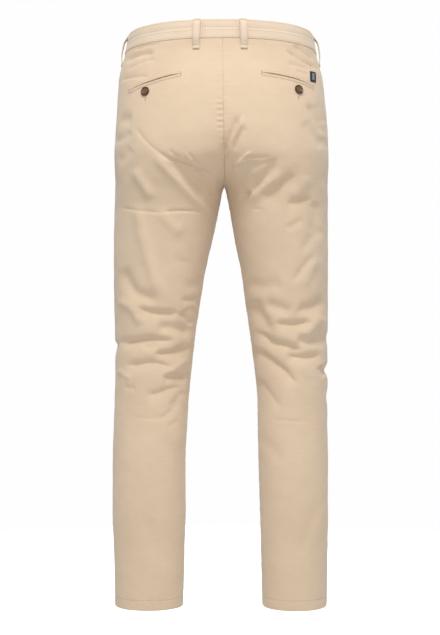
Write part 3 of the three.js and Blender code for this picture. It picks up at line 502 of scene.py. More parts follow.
class Figure:
    """The general hollow form that the cloth follows, before and after its folds."""

    slope_step = 0.5
    tilt_rounds = 6

    def __init__(self, folds: Sequence[Fold]) -> None:
        """Makes the curves through the tables.

        Args:
            folds: the folds that run round a leg.
        """
        seat_names = ("left", "right", "tuck_back", "tuck_front", "back", "front", "square")
        leg_names = ("out_left", "in_left", "out_right", "in_right", "back", "front", "square")
        self.seat = Curve.columns(SEAT, seat_names)
        self.legs = Curve.columns(LEGS, leg_names)
        self.folds = folds
        self.ripple = Ripple()

    @staticmethod
    def middle_x(z: Array) -> Array:
        """x of the middle seam at each height."""
        t = np.clip((z - MIDDLE_LOW[0]) / (MIDDLE_TOP[0] - MIDDLE_LOW[0]), 0.0, 1.0)
        return MIDDLE_LOW[1] + (MIDDLE_TOP[1] - MIDDLE_LOW[1]) * t

    def oval(self, side: Side, face: Face, z: Array) -> Oval:
        """The half oval at each height.

        Args:
            side: which half.
            face: behind or in front.
            z: heights.

        Returns:
            Its sizes, as arrays shaped like z.
        """
        left = side is Side.LEFT
        middle = side.value * self.middle_x(z)
        reach = self.seat["left" if left else "right"](z)
        tuck = np.clip(self.seat["tuck_back" if face is Face.BACK else "tuck_front"](z), 0.0, 1.0)
        seat_half = (reach - middle) / (1.0 + tuck)
        square = self.seat["square"](z)
        outer = self.legs["out_left" if left else "out_right"](z)
        inner = self.legs["in_left" if left else "in_right"](z)
        leg_half = (outer - inner) / 2
        wider = (self.legs["out_left"](z) - self.legs["in_left"](z)) / 2
        deepen = 0.0 if left else (wider - leg_half) * smooth((CROTCH_Z - z) / LEG_DEEPEN)
        above = z >= CROTCH_Z
        back = np.where(above, self.seat["back"](z), self.legs["back"](z))
        front = np.where(above, self.seat["front"](z), self.legs["front"](z))
        return Oval(
            centre=np.where(above, middle + tuck * seat_half, (outer + inner) / 2),
            half=np.where(above, seat_half, leg_half),
            mid=(back + front) / 2,
            deep=(back - front) / 2 + np.where(above, 0.0, deepen),
            square=np.where(above, square, self.legs["square"](z)),
            end=np.where(above, np.arccos(-(tuck ** (square / 2))), math.pi),
            middle=middle,
        )

    @staticmethod
    def on_oval(oval: Oval, face: Face, angle: Array) -> Place:
        """x and y of an oval at each angle from the side seam."""
        c = np.cos(angle)
        x = oval.centre + oval.half * np.sign(c) * np.abs(c) ** (2 / oval.square)
        y = oval.mid + face.value * oval.deep * np.abs(np.sin(angle)) ** (2 / oval.square)
        return x, y

    def lengths(self, side: Side, face: Face, level: Array) -> tuple[Array, Array]:
        """Distance along the half oval at each level.

        Args:
            side: which half.
            face: behind or in front.
            level: heights, one for each row.

        Returns:
            The shares of the whole angle, and the distance at each, a row for each level.
        """
        share = np.linspace(0.0, 1.0, OVAL_SAMPLES + 1)
        oval = self.oval(side, face, level[:, None])
        x, y = self.on_oval(oval, face, share[None, :] * oval.end)
        steps = np.hypot(np.diff(x, axis=1), np.diff(y, axis=1))
        return share, np.concatenate([np.zeros((len(level), 1)), np.cumsum(steps, axis=1)], axis=1)

    def length(self, side: Side, face: Face, level: Array) -> Array:
        """The whole distance from side seam to middle or inseam at each level."""
        return self.lengths(side, face, level)[1][:, -1]

    def tilt(self, level: Array) -> Array:
        """How much the waist's tilt lifts a level, for each millimetre of y."""
        return WAIST_TILT * (1 - smooth((BAND_LOW_Z - level) / (BAND_LOW_Z - TILT_ENDS_Z)))

    def normal(self, side: Side, face: Face, x: Array, y: Array, z: Array) -> Array:
        """Outward direction of the smooth form, x measured outwards from the middle plane."""

        def off(at: Array) -> Array:
            oval = self.oval(side, face, at)
            across = np.abs((x - oval.centre) / oval.half) ** oval.square
            return across + np.abs((y - oval.mid) / oval.deep) ** oval.square

        oval = self.oval(side, face, z)
        power = oval.square - 1
        across = (x - oval.centre) / oval.half
        deep = (y - oval.mid) / oval.deep
        step = self.slope_step
        slope_z = (off(z + step) - off(z - step)) / (2 * step)
        slope_x = oval.square * np.sign(across) * np.abs(across) ** power / oval.half
        slope_y = oval.square * np.sign(deep) * np.abs(deep) ** power / oval.deep
        out = np.stack([side.value * slope_x, slope_y, slope_z], axis=-1)
        return out / np.linalg.norm(out, axis=-1, keepdims=True)

    def fold_height(self, side: Side, around: Array, z: Array) -> Array:
        """Height of the folds round a leg, at each distance round it and height."""
        height = np.zeros(np.broadcast(around, z).shape)
        for fold in self.folds:
            if fold.leg != side.value:
                continue
            ds, dz = fold.s1 - fold.s0, fold.z1 - fold.z0
            length = math.hypot(ds, dz)
            t = ((around - fold.s0) * ds + (z - fold.z0) * dz) / length**2
            up = math.copysign(1.0, ds)
            off = up * ((z - fold.z0) * ds - (around - fold.s0) * dz) / length - fold.bow * 4 * t * (1 - t)
            width = np.where(off > 0, fold.above, fold.below)
            ends = smooth(t / FOLD_END) * smooth((1 - t) / FOLD_END)
            height += fold.rise * ends * ridge(off, width)
        return height

    def trace(
        self, side: Side, face: Face, level: Array, distance: Array, extra: Array | float = 0.0
    ) -> Place:
        """Points of the cloth's outer face.

        Args:
            side: which half.
            face: behind or in front.
            level: heights before the waist's tilt, one for each row.
            distance: distances from the side seam, a row of them for each level.
            extra: height over the cloth, shaped like distance.

        Returns:
            Points and outward directions, each shaped like distance with x, y and z added.
        """
        share, lengths = self.lengths(side, face, level)
        part = np.stack([np.interp(row, known, share) for row, known in zip(distance, lengths)])
        start = self.oval(side, face, level[:, None])
        flat_y = self.on_oval(start, face, part * start.end)[1]
        z = level[:, None] + self.tilt(level)[:, None] * flat_y
        oval = self.oval(side, face, z)
        x, y = self.on_oval(oval, face, part * oval.end)
        normal = self.normal(side, face, x, y, z)
        around = face.value * distance
        height = self.fold_height(side, around, z) + self.ripple(side, around, z)
        if face is Face.BACK:
            to_inseam = np.where(z >= CROTCH_Z, np.inf, lengths[:, -1:] - distance)
            fade = smooth(distance / CREASE_FADE) * smooth(to_inseam / CREASE_FADE)
            height = height + fade * sum(crease.height(-side.value * x, z) for crease in CREASES)
        near = np.where(z >= CROTCH_Z, smooth((x - oval.middle) / FOLD_KEEP_OFF_MIDDLE), 1.0)
        moved = side.value * x + normal[..., 0] * (height * near + extra)
        edge = np.where(z >= CROTCH_Z - 1, oval.middle, -np.inf)
        moved = side.value * np.maximum(side.value * moved, edge)
        height = height + extra
        points = np.stack([moved, y + normal[..., 1] * height, z + normal[..., 2] * height], axis=-1)
        return points, normal

    def find_back(self, side: Side, x: Array, z: Array) -> Place:
        """Level and distance of the places on the back that have a given x and height.

        Args:
            side: which half.
            x: distances outwards from the middle plane.
            z: heights.

        Returns:
            Levels and distances from the side seam.
        """
        oval = self.oval(side, Face.BACK, z)
        across = np.clip((x - oval.centre) / oval.half, -1.0, 1.0)
        angle = np.arccos(np.sign(across) * np.abs(across) ** (oval.square / 2))
        y = self.on_oval(oval, Face.BACK, angle)[1]
        level = z.copy()
        for _ in range(self.tilt_rounds):
            level = z - self.tilt(level) * y
        share, lengths = self.lengths(side, Face.BACK, level)
        distance = np.array([np.interp(a, share, row) for a, row in zip(angle / oval.end, lengths)])
        return level, distance


class Ripple:
    """Faint unevenness of worn cloth: a few long, low waves in fixed directions."""

    seed: int = 11
    waves: int = 14
    longest: float = 150.0
    shortest: float = 26.0
    height: float = 0.16

    def __init__(self) -> None:
        """Draws the waves once."""
        draw = np.random.default_rng(self.seed)
        length = np.geomspace(self.longest, self.shortest, self.waves)
        angle = draw.uniform(0, math.pi, self.waves)
        self.across = np.cos(angle) / length * 2 * math.pi
        self.along = np.sin(angle) / length * 2 * math.pi
        self.phase = draw.uniform(0, 2 * math.pi, (2, self.waves))
        self.part = (length / self.longest) ** 0.5

    def __call__(self, side: Side, around: Array, z: Array) -> Array:
        """Height of the waves at each distance round the leg and height."""
        total = np.zeros(np.broadcast(around, z).shape)
        phase = self.phase[0 if side is Side.LEFT else 1]
        for across, along, shift, part in zip(self.across, self.along, phase, self.part):
            total += part * np.sin(across * around + along * z + shift)
        return self.height * total


@dataclass(frozen=True)
class Finish:
    """A material's look: its colour, how rough it is, and how its surface is built."""

    name: str
    slot: str
    colour: str
    shade: str
    roughness: float
    sheen: float
    rib: float
    rib_height: float


TWILL = Finish("cotton_twill", "twill", "#e3ccb0", "#d6bd9f", 0.86, 0.32, 0.55, 0.05)
# The legs' twill painted lighter for the waistband and loops: painted light for the stronger light at the top
BAND_TWILL_PAINTED_LIGHT = Finish("waistband_twill_painted_light", "waistband_twill", "#e8d4bd", "#dcc6ac", 0.86, 0.32, 0.55, 0.05)
THREAD = Finish("cotton_sewing_thread", "twill", "#dcc5a8", "#cfb696", 0.7, 0.1, 0.3, 0.04)
BUTTON_THREAD = Finish("brown_sewing_thread", "horn", "#7a5a3e", "#5f442d", 0.7, 0.1, 0.3, 0.04)
HORN = Finish("polyester_horn", "horn", "#3b2416", "#a27a4e", 0.28, 0.0, 0.0, 0.0)
NAVY_TAPE = Finish("navy_woven_tape", "woven_tab", "#26304a", "#1b2338", 0.8, 0.1, 0.4, 0.05)
GREY_TAPE = Finish("grey_woven_tape", "woven_tab", "#8b8e96", "#777a83", 0.8, 0.1, 0.4, 0.05)


def srgb(colour: str) -> tuple[float, float, float, float]:
    """Turns an sRGB hex colour into linear RGBA."""
    parts = [int(colour[i:i + 2], 16) / 255 for i in (1, 3, 5)]
    linear = [p / 12.92 if p <= 0.04045 else ((p + 0.055) / 1.055) ** 2.4 for p in parts]
    return (*linear, 1.0)


class Materials:
    """Makes each finish's material once, from nodes only.

    Scales are those of the noises over a metre of cloth. Shares are how much of the second shade a pattern
    brings.
    """

    wobble_scale = 260.0
    broad_scale = 9.0
    grain_scale = 900.0
    slub_scale = 330.0
    slub_stretch = (0.12, 1.0, 1.0)

    # Ribs of the twill, and the yarns that cross them
    rib_slope = 1.35
    rib_waver = 5.0
    rib_part = 0.7
    yarn_width = 0.62
    yarn_waver = 9.0
    yarn_part = 0.3

    # The first share below is painted shade: how far the colour darkens in the rib grooves
    groove_shade_share = 0.16
    grain_share = 0.5
    slub_share = 0.8
    broad_share = 0.4

    roughness_spread = 0.12
    weave_relief = 0.5
    weave_bump = 0.8
    sheen_roughness = 0.55
    specular = 0.18

    horn_scale = 420.0
    horn_twist = 1.4
    horn_middle = 0.0028
    horn_rim = 0.0066
    horn_contrast = 1.5
    horn_relief = 0.04
    horn_bump = 0.4
    horn_coat = 0.3
    horn_coat_roughness = 0.15

    def __init__(self) -> None:
        self.made: dict[str, bpy.types.Material] = {}

    def get(self, finish: Finish) -> bpy.types.Material:
        """The material of a finish."""
        if finish.name not in self.made:
            build = self.horn if finish is HORN else self.cloth
            self.made[finish.name] = build(finish)
        return self.made[finish.name]

    @staticmethod
    def noise(
        add: Callable, place: bpy.types.NodeSocket, scale: float, **more: float
    ) -> bpy.types.NodeSocket:
        """A noise over the cloth, with its scale and its other inputs by name."""
        inputs = {"Vector": place, "Scale": scale}
        inputs.update({name.title(): value for name, value in more.items()})
        return add("TexNoise", inputs).outputs["Fac"]

    @staticmethod
    def mix(material: bpy.types.Material, add: Callable, finish: Finish, share: bpy.types.NodeSocket) -> None:
        """Colours a material by its finish's two shades."""
        blend = add("Mix", data_type="RGBA", clamp_factor=True)
        links = material.node_tree.links
        links.new(share, blend.inputs[0])
        blend.inputs[6].default_value = srgb(finish.colour)
        blend.inputs[7].default_value = srgb(finish.shade)
        shader = material.node_tree.nodes["Principled BSDF"]
        links.new(blend.outputs[2], shader.inputs["Base Color"])

    @staticmethod
    def start(finish: Finish) -> tuple[bpy.types.Material, Callable, bpy.types.Node]:
        """An empty material with its shader.

        Args:
            finish: what to make.

        Returns:
            The material, a function that adds a node, and the shader.
        """
        material = bpy.data.materials.new(finish.name)
        material.use_nodes = True
        tree = material.node_tree
        tree.nodes.clear()

        def add(kind: str, inputs: dict | None = None, **values: object) -> bpy.types.Node:
            node = tree.nodes.new(f"ShaderNode{kind}")
            for name, value in values.items():
                setattr(node, name, value)
            for name, value in (inputs or {}).items():
                socket = node.inputs[name]
                if isinstance(value, bpy.types.NodeSocket):
                    tree.links.new(value, socket)
                else:
                    socket.default_value = value
            return node

        shader = add("BsdfPrincipled", {"Roughness": finish.roughness})
        add("OutputMaterial", {"Surface": shader.outputs["BSDF"]})
        return material, add, shader

    def cloth(self, finish: Finish) -> bpy.types.Material:
        """Cotton cloth: fine diagonal ribs with painted shade in their grooves, yarns of slightly different
        shades and a soft nap.
        """
        material, add, shader = self.start(finish)
        place = add("UVMap", uv_map="cloth").outputs["UV"]
        pitch = finish.rib * MM

        def math_node(operation: str, first: object, second: object = 0.0) -> bpy.types.NodeSocket:
            return add("Math", {0: first, 1: second}, operation=operation).outputs[0]

        def scaled(value: object, factor: float) -> bpy.types.NodeSocket:
            return math_node("MULTIPLY", value, factor)

        wobble = self.noise(add, place, self.wobble_scale, detail=2.0)
        parts = add("SeparateXYZ", {"Vector": place})
        along = math_node("ADD", scaled(parts.outputs["X"], self.rib_slope), parts.outputs["Y"])
        ribs = scaled(along, math.pi / pitch)
        wave = math_node("SINE", math_node("ADD", ribs, scaled(wobble, self.rib_waver)))
        across = scaled(parts.outputs["X"], 2 * math.pi / (self.yarn_width * pitch))
        yarn = math_node("SINE", math_node("ADD", across, scaled(wobble, self.yarn_waver)))
        weave = math_node("ADD", scaled(wave, self.rib_part), scaled(yarn, self.yarn_part))

        broad = self.noise(add, place, self.broad_scale, detail=4.0, roughness=0.6)
        grain = self.noise(add, place, self.grain_scale, detail=3.0, roughness=0.7)
        spread = add("MapRange", {"Value": broad, "From Min": 0.3, "From Max": 0.7}).outputs["Result"]
        drawn_out = add("VectorMath", {0: place, 1: self.slub_stretch}, operation="MULTIPLY")
        slubs = self.noise(add, drawn_out.outputs["Vector"], self.slub_scale, detail=3.0, roughness=0.7)
        # Painted shade: the colour darkens in the grooves between the ribs, where the bump below sinks
        deep = scaled(math_node("SUBTRACT", 1.0, weave), self.groove_shade_share)
        specks = scaled(math_node("SUBTRACT", grain, 0.5), self.grain_share)
        streaks = scaled(math_node("SUBTRACT", slubs, 0.5), self.slub_share)
        yarns = math_node("ADD", deep, math_node("ADD", specks, streaks))
        self.mix(material, add, finish, math_node("ADD", scaled(spread, self.broad_share), yarns))

        links = material.node_tree.links
        smoothest = finish.roughness - self.roughness_spread / 2
        rough = math_node("ADD", smoothest, scaled(grain, self.roughness_spread))
        links.new(rough, shader.inputs["Roughness"])
        relief = math_node("ADD", scaled(weave, self.weave_relief), grain)
        depth = finish.rib_height * MM
        bump = add("Bump", {"Height": relief, "Distance": depth, "Strength": self.weave_bump})
        links.new(bump.outputs["Normal"], shader.inputs["Normal"])
        shader.inputs["Sheen Weight"].default_value = finish.sheen
        shader.inputs["Sheen Roughness"].default_value = self.sheen_roughness
        shader.inputs["Specular IOR Level"].default_value = self.specular
        return material

    def horn(self, finish: Finish) -> bpy.types.Material:
        """Brown horn look: a dark rim round a lighter, streaked middle."""
        material, add, shader = self.start(finish)
        place = add("UVMap", uv_map="cloth").outputs["UV"]
        streaks = self.noise(add, place, self.horn_scale, detail=5.0, distortion=self.horn_twist)
        far = add("VectorMath", {0: place}, operation="LENGTH").outputs["Value"]
        fade = {"From Min": self.horn_middle, "From Max": self.horn_rim, "To Min": 1.0, "To Max": 0.0}
        middle = add("MapRange", {"Value": far, **fade}).outputs["Result"]
        part = add("Math", {0: middle, 1: streaks}, operation="MULTIPLY").outputs[0]
        more = add("Math", {0: part, 1: self.horn_contrast}, operation="MULTIPLY").outputs[0]
        self.mix(material, add, finish, more)
        depth = self.horn_relief * MM
        bump = add("Bump", {"Height": streaks, "Distance": depth, "Strength": self.horn_bump})
        material.node_tree.links.new(bump.outputs["Normal"], shader.inputs["Normal"])
        shader.inputs["Coat Weight"].default_value = self.horn_coat
        shader.inputs["Coat Roughness"].default_value = self.horn_coat_roughness
        return material


class Workshop:
    """Turns arrays of points in millimetres into finished pieces on the frame."""

    def __init__(self, materials: Materials) -> None:
        self.materials = materials

    def mesh(self, name: str, points: Array, faces: Array, finish: Finish, uv: Array | None = None,
             replaces: Sequence[str] = ()) -> bpy.types.Object:
        """A smooth-shaded mesh.

        Args:
            name: the piece's name.
            points: one row for each corner, in millimetres.
            faces: one row of three or four corners for each face.
            finish: its material.
            uv: place of each corner in the cloth, in millimetres.
            replaces: the solids that it stands for.

        Returns:
            The piece, riding on the frame's root.
        """
        points = points * MM
        first, second, third = (points[faces[:, i]] for i in range(3))
        last = points[faces[:, -1]]
        turn = np.einsum("ij,ij->i", first, np.cross(second, third))
        if faces.shape[1] == 4:
            turn = turn + np.einsum("ij,ij->i", first, np.cross(third, last))
        if turn.sum() < 0:
            faces = faces[:, ::-1]
        data = bpy.data.meshes.new(name)
        corners = faces.shape[1]
        data.vertices.add(len(points))
        data.vertices.foreach_set("co", points.astype(np.float32).ravel())
        data.loops.add(faces.size)
        data.loops.foreach_set("vertex_index", faces.astype(np.int32).ravel())
        data.polygons.add(len(faces))
        data.polygons.foreach_set("loop_start", np.arange(0, faces.size, corners, dtype=np.int32))
        data.polygons.foreach_set("use_smooth", np.ones(len(faces), bool))
        data.update(calc_edges=True)
        data.validate()
        if uv is not None:
            layer = data.uv_layers.new(name="cloth")
            layer.data.foreach_set("uv", (uv * MM)[faces.ravel()].astype(np.float32).ravel())
        data.materials.append(self.materials.get(finish))
        piece = bpy.data.objects.new(name, data)
        bpy.context.scene.collection.objects.link(piece)
        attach(piece, ROOT)
        for node in replaces:
            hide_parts(node)
        return piece

    def slab(self, name: str, outer: Array, inner: Array, uv: Array, finish: Finish,
             replaces: Sequence[str] = ()) -> bpy.types.Object:
        """A closed thin body between two grids of points, rows by columns."""
        rows, columns = outer.shape[:2]
        out = np.arange(rows * columns).reshape(rows, columns)
        within = out + rows * columns
        faces = [
            self.quads(out[:-1, :-1], out[1:, :-1], out[1:, 1:], out[:-1, 1:]),
            self.quads(within[:-1, :-1], within[:-1, 1:], within[1:, 1:], within[1:, :-1]),
            self.quads(out[:-1, 0], within[:-1, 0], within[1:, 0], out[1:, 0]),
            self.quads(out[:-1, -1], out[1:, -1], within[1:, -1], within[:-1, -1]),
            self.quads(out[0, :-1], out[0, 1:], within[0, 1:], within[0, :-1]),
            self.quads(out[-1, :-1], within[-1, :-1], within[-1, 1:], out[-1, 1:]),
        ]
        points = np.concatenate([outer.reshape(-1, 3), inner.reshape(-1, 3)])
        both = np.concatenate([uv.reshape(-1, 2)] * 2)
        return self.mesh(name, points, np.concatenate(faces), finish, both, replaces)

    @staticmethod
    def quads(a: Array, b: Array, c: Array, d: Array) -> Array:
        """Faces from four arrays of corners."""
        return np.stack([a, b, c, d], axis=-1).reshape(-1, 4)

    def stitches(self, name: str, rows: Sequence["StitchRow"], finish: Finish = THREAD) -> bpy.types.Object:
        """All the stitches of some rows, each a small grain of thread lying on the cloth.

        Args:
            name: the piece's name.
            rows: lines of sewing.
            finish: the thread.

        Returns:
            The piece.
        """
        points, faces, places, count = [], [], [], 0
        ring = np.linspace(0, 2 * math.pi, StitchRow.sides, endpoint=False)
        along = np.array(StitchRow.along)
        thick = np.array(StitchRow.thick)
        for row in rows:
            middle, ahead, up = row.places()
            side = np.cross(ahead, up)
            sag = (1 - (2 * along) ** 2) * row.radius * row.arch - row.radius * row.sunk
            spine = middle[:, None] + ahead[:, None] * (along * row.length)[None, :, None]
            spine = spine + up[:, None] * sag[None, :, None]
            around = np.cos(ring)[:, None] * side[:, None, None] + np.sin(ring)[:, None] * up[:, None, None]
            grain = spine[:, :, None] + around * (thick * row.radius)[None, :, None, None]
            shape = (len(middle), len(along), len(ring))
            stitch = np.arange(math.prod(shape)).reshape(shape)
            after = np.roll(stitch, -1, axis=2)
            faces.append(count + self.quads(stitch[:, :-1], stitch[:, 1:], after[:, 1:], after[:, :-1]))
            start, end = stitch[:, 0], stitch[:, -1]
            faces.append(count + self.quads(start[:, 0], start[:, 1], start[:, 2], start[:, 3]))
            faces.append(count + self.quads(start[:, 3], start[:, 4], start[:, 5], start[:, 0]))
            faces.append(count + self.quads(end[:, 3], end[:, 2], end[:, 1], end[:, 0]))
            faces.append(count + self.quads(end[:, 0], end[:, 5], end[:, 4], end[:, 3]))
            points.append(grain.reshape(-1, 3))
            spot = np.broadcast_to(along[None, :, None] * row.length, stitch.shape)
            turn = np.broadcast_to(ring[None, None, :] * row.radius, stitch.shape)
            places.append(np.stack([spot, turn], axis=-1).reshape(-1, 2))
            count += stitch.size
        return self.mesh(name, np.concatenate(points), np.concatenate(faces), finish, np.concatenate(places))


@dataclass
class StitchRow:
    """A line of sewing over points of a surface.

    line holds points along it in millimetres and normal the outward direction at each. A stitch has rings of
    sides corners at the shares along of its length, and thick is each ring's share of its radius. Its middle
    rises by arch and all of it sinks by sunk, as shares of its radius. reach is how far its direction looks.
    """

    line: Array
    normal: Array
    pitch: float = 3.0
    length: float = 2.35
    radius: float = 0.27

    sides = 6
    along = (-0.5, -0.36, 0.0, 0.36, 0.5)
    thick = (0.25, 0.85, 1.0, 0.85, 0.25)
    arch = 0.9
    sunk = 0.55
    reach = 0.8

    def places(self) -> tuple[Array, Array, Array]:
        """Middle, direction and outward direction of each stitch."""
        steps = np.linalg.norm(np.diff(self.line, axis=0), axis=1)
        far = np.concatenate([[0.0], np.cumsum(steps)])
        count = max(int(far[-1] / self.pitch), 1)
        at = (np.arange(count) + 0.5) * far[-1] / count

        def along(spot: Array, values: Array) -> Array:
            return np.stack([np.interp(spot, far, values[:, i]) for i in range(3)], axis=-1)

        middle = along(at, self.line)
        next_spot = np.minimum(at + self.reach, far[-1])
        last_spot = np.maximum(at - self.reach, 0)
        ahead = along(next_spot, self.line) - along(last_spot, self.line)
        ahead /= np.linalg.norm(ahead, axis=1, keepdims=True)
        up = along(at, self.normal)
        up -= np.einsum("ij,ij->i", up, ahead)[:, None] * ahead
        up /= np.linalg.norm(up, axis=1, keepdims=True)
        return middle, ahead, up


# Stitches of bars, pocket ends, loop ends, buttonholes and buttons: pitch, length and radius
BAR_STITCH = (0.6, 1.3, 0.2)
BOX_STITCH = (0.6, 1.3, 0.16)
TACK_STITCH = (0.55, 1.25, 0.2)
HOLE_STITCH = (0.55, 1.2, 0.2)
STRAND_STITCH = (9.0, 4.0, 0.3)

# Seams, pocket mouths and the fly
SEAM_ROLL = 0.75
SEAM_ROLL_WIDTH = 0.9
SEAM_ROLL_POWER = 1.3
PUCKER = 0.28
PUCKER_PERIOD = 8.5
PUCKER_REACH = 7.0
PUCKER_OFF_SEAM = 3.0
LADDER_PERIOD = 9.6
LADDER_TOP_Z = -106.0
LADDER_LOW_Z = -180.0
LADDER_HEIGHT = 1.1
HEM_STITCH = HEM_Z + HEM_HEIGHT
SLANT_TOP_WIDTH = 46.0
SLANT_CURVE = 0.9
SLANT_LOW_Z = -168.0
FLY_LAP = 8.0
FLY_LIFT = 2.2
FLY_LOW_Z = -178.0
FLY_RISE_RUN = 10.0
FLY_RISE_END = 4.0
FLY_LIFT_DROP = 20.0
FLY_LIFT_FADE = 16.0
FLY_LAP_FADE = 14.0
FLY_SLIVER = 0.04
FLY_STITCH = 33.0
FACING_RAMP = 0.55
FACING_LEAST_RAMP = 0.15
FACING_SHUT = 12.0
FACING_UNDER = 14.0
FACING_DEPTH = 2.9
FACING_CLOTH = 1.2


def uneven(place: Array, period: float, seed: int) -> Array:
    """A wave of about one period, uneven in height and spacing."""
    shift = 1.9 * np.sin(place / (5.3 * period) * 2 * math.pi + seed)
    size = 0.62 + 0.38 * np.sin(place / (3.1 * period) * 2 * math.pi + 2.1 * seed)
    return size * np.sin(place / period * 2 * math.pi + shift + seed)


def seam_roll(reach: Array) -> Array:
    """How far cloth rolls down at each reach from a seam."""
    return SEAM_ROLL * np.exp(-((reach / SEAM_ROLL_WIDTH) ** SEAM_ROLL_POWER))


class Cloth:
    """The panels' cloth: the figure with its seams, hems and puckers."""

    start_roll = 0.7
    start_pucker = 0.5
    top_stretch = 1.1
    edge_roll = 0.6
    edge_roll_width = 0.8
    hem_groove = 0.5
    hem_groove_width = 1.1
    hem_fade = 3.0
    hem_over = 2.0
    hem_top_fade = 4.0
    roping = 0.3
    roping_lean = 0.6
    roping_period = 12.0
    drag = 0.16
    drag_period = 9.0
    drag_reach = 5.0
    ladder_top_fade = 16.0
    ladder_low_fade = 20.0
    ladder_waver = 0.5
    ladder_waver_length = 17.0
    ladder_off_seam = 6.5
    ladder_width = 5.0

    def __init__(self, figure: Figure) -> None:
        self.figure = figure

    def slant(self, level: Array) -> Array:
        """The slanted pocket edge's distance from the side seam at each level."""
        t = np.clip((level - SLANT_LOW_Z) / (PANEL_TOP_Z - SLANT_LOW_Z), 0.0, 1.0)
        return SLANT_TOP_WIDTH * t**SLANT_CURVE

    def edges(self, side: Side, face: Face, level: Array) -> tuple[Array, Array]:
        """Distances of a panel's two long edges from the side seam, at each level."""
        start = self.slant(level) if face is Face.FRONT else np.zeros_like(level)
        return start, self.figure.length(side, face, level)

    def relief(self, side: Side, face: Face, level: Array, distance: Array) -> Array:
        """Height of seams, hem and puckers over the cloth.

        Args:
            side: which half.
            face: behind or in front.
            level: a row of heights.
            distance: distances from the side seam for each level.

        Returns:
            Heights shaped like distance.
        """
        start, end = self.edges(side, face, level)
        z = level[:, None]
        seed = side.value + 3 * face.value
        from_start = np.maximum(distance - start[:, None], 0)
        from_end = np.maximum(end[:, None] - distance, 0)
        from_top = np.maximum(PANEL_TOP_Z - z, 0)
        height = np.zeros(distance.shape)
        height -= self.start_roll * seam_roll(from_start) + seam_roll(from_end) + seam_roll(from_top)
        height += PUCKER * uneven(z, PUCKER_PERIOD, seed) * ridge(from_end - PUCKER_OFF_SEAM, PUCKER_REACH)
        beside_start = uneven(z, PUCKER_PERIOD, seed + 1) * ridge(from_start, PUCKER_REACH)
        height += self.start_pucker * PUCKER * beside_start
        along_top = uneven(distance, self.top_stretch * PUCKER_PERIOD, seed)
        height += PUCKER * along_top * np.exp(-from_top / PUCKER_REACH)
        height += self.hem_relief(z, distance, seed)
        if side is Side.LEFT and face is Face.BACK:
            height += self.ladder(z, from_end)
        return height

    def hem_relief(self, z: Array, distance: Array, seed: int) -> Array:
        """Height of the hem's rolled edge, the groove of its stitches, its roping and the drags above it."""
        from_hem = np.maximum(z - HEM_Z, 0)
        edge = self.edge_roll * np.exp(-from_hem / self.edge_roll_width)
        groove = self.hem_groove * ridge(z - HEM_STITCH, self.hem_groove_width)
        below_top = HEM_HEIGHT - from_hem + self.hem_over
        inside_hem = smooth(from_hem / self.hem_fade) * smooth(below_top / self.hem_top_fade)
        roping = uneven(distance + self.roping_lean * from_hem, self.roping_period, seed)
        above_hem = np.exp(-np.abs(z - HEM_STITCH - 3) / self.drag_reach)
        drags = uneven(distance, self.drag_period, seed + 2) * above_hem
        return self.roping * roping * inside_hem + self.drag * drags - edge - groove

    def ladder(self, z: Array, from_seam: Array) -> Array:
        """Height of the gathered rungs beside the back's middle seam."""
        below_top = smooth((LADDER_TOP_Z - z) / self.ladder_top_fade)
        window = below_top * smooth((z - LADDER_LOW_Z) / self.ladder_low_fade)
        waver = self.ladder_waver * np.sin(z / self.ladder_waver_length)
        rungs = np.sin(2 * math.pi * z / LADDER_PERIOD + waver)
        return LADDER_HEIGHT * window * rungs * ridge(from_seam - self.ladder_off_seam, self.ladder_width)

    def surface(
        self, side: Side, face: Face, level: Array, distance: Array, extra: Array | float = 0.0
    ) -> Place:
        """Points and outward directions of a panel's outer face, seams included."""
        relief = self.relief(side, face, level, distance)
        return self.figure.trace(side, face, level, distance, relief + extra)


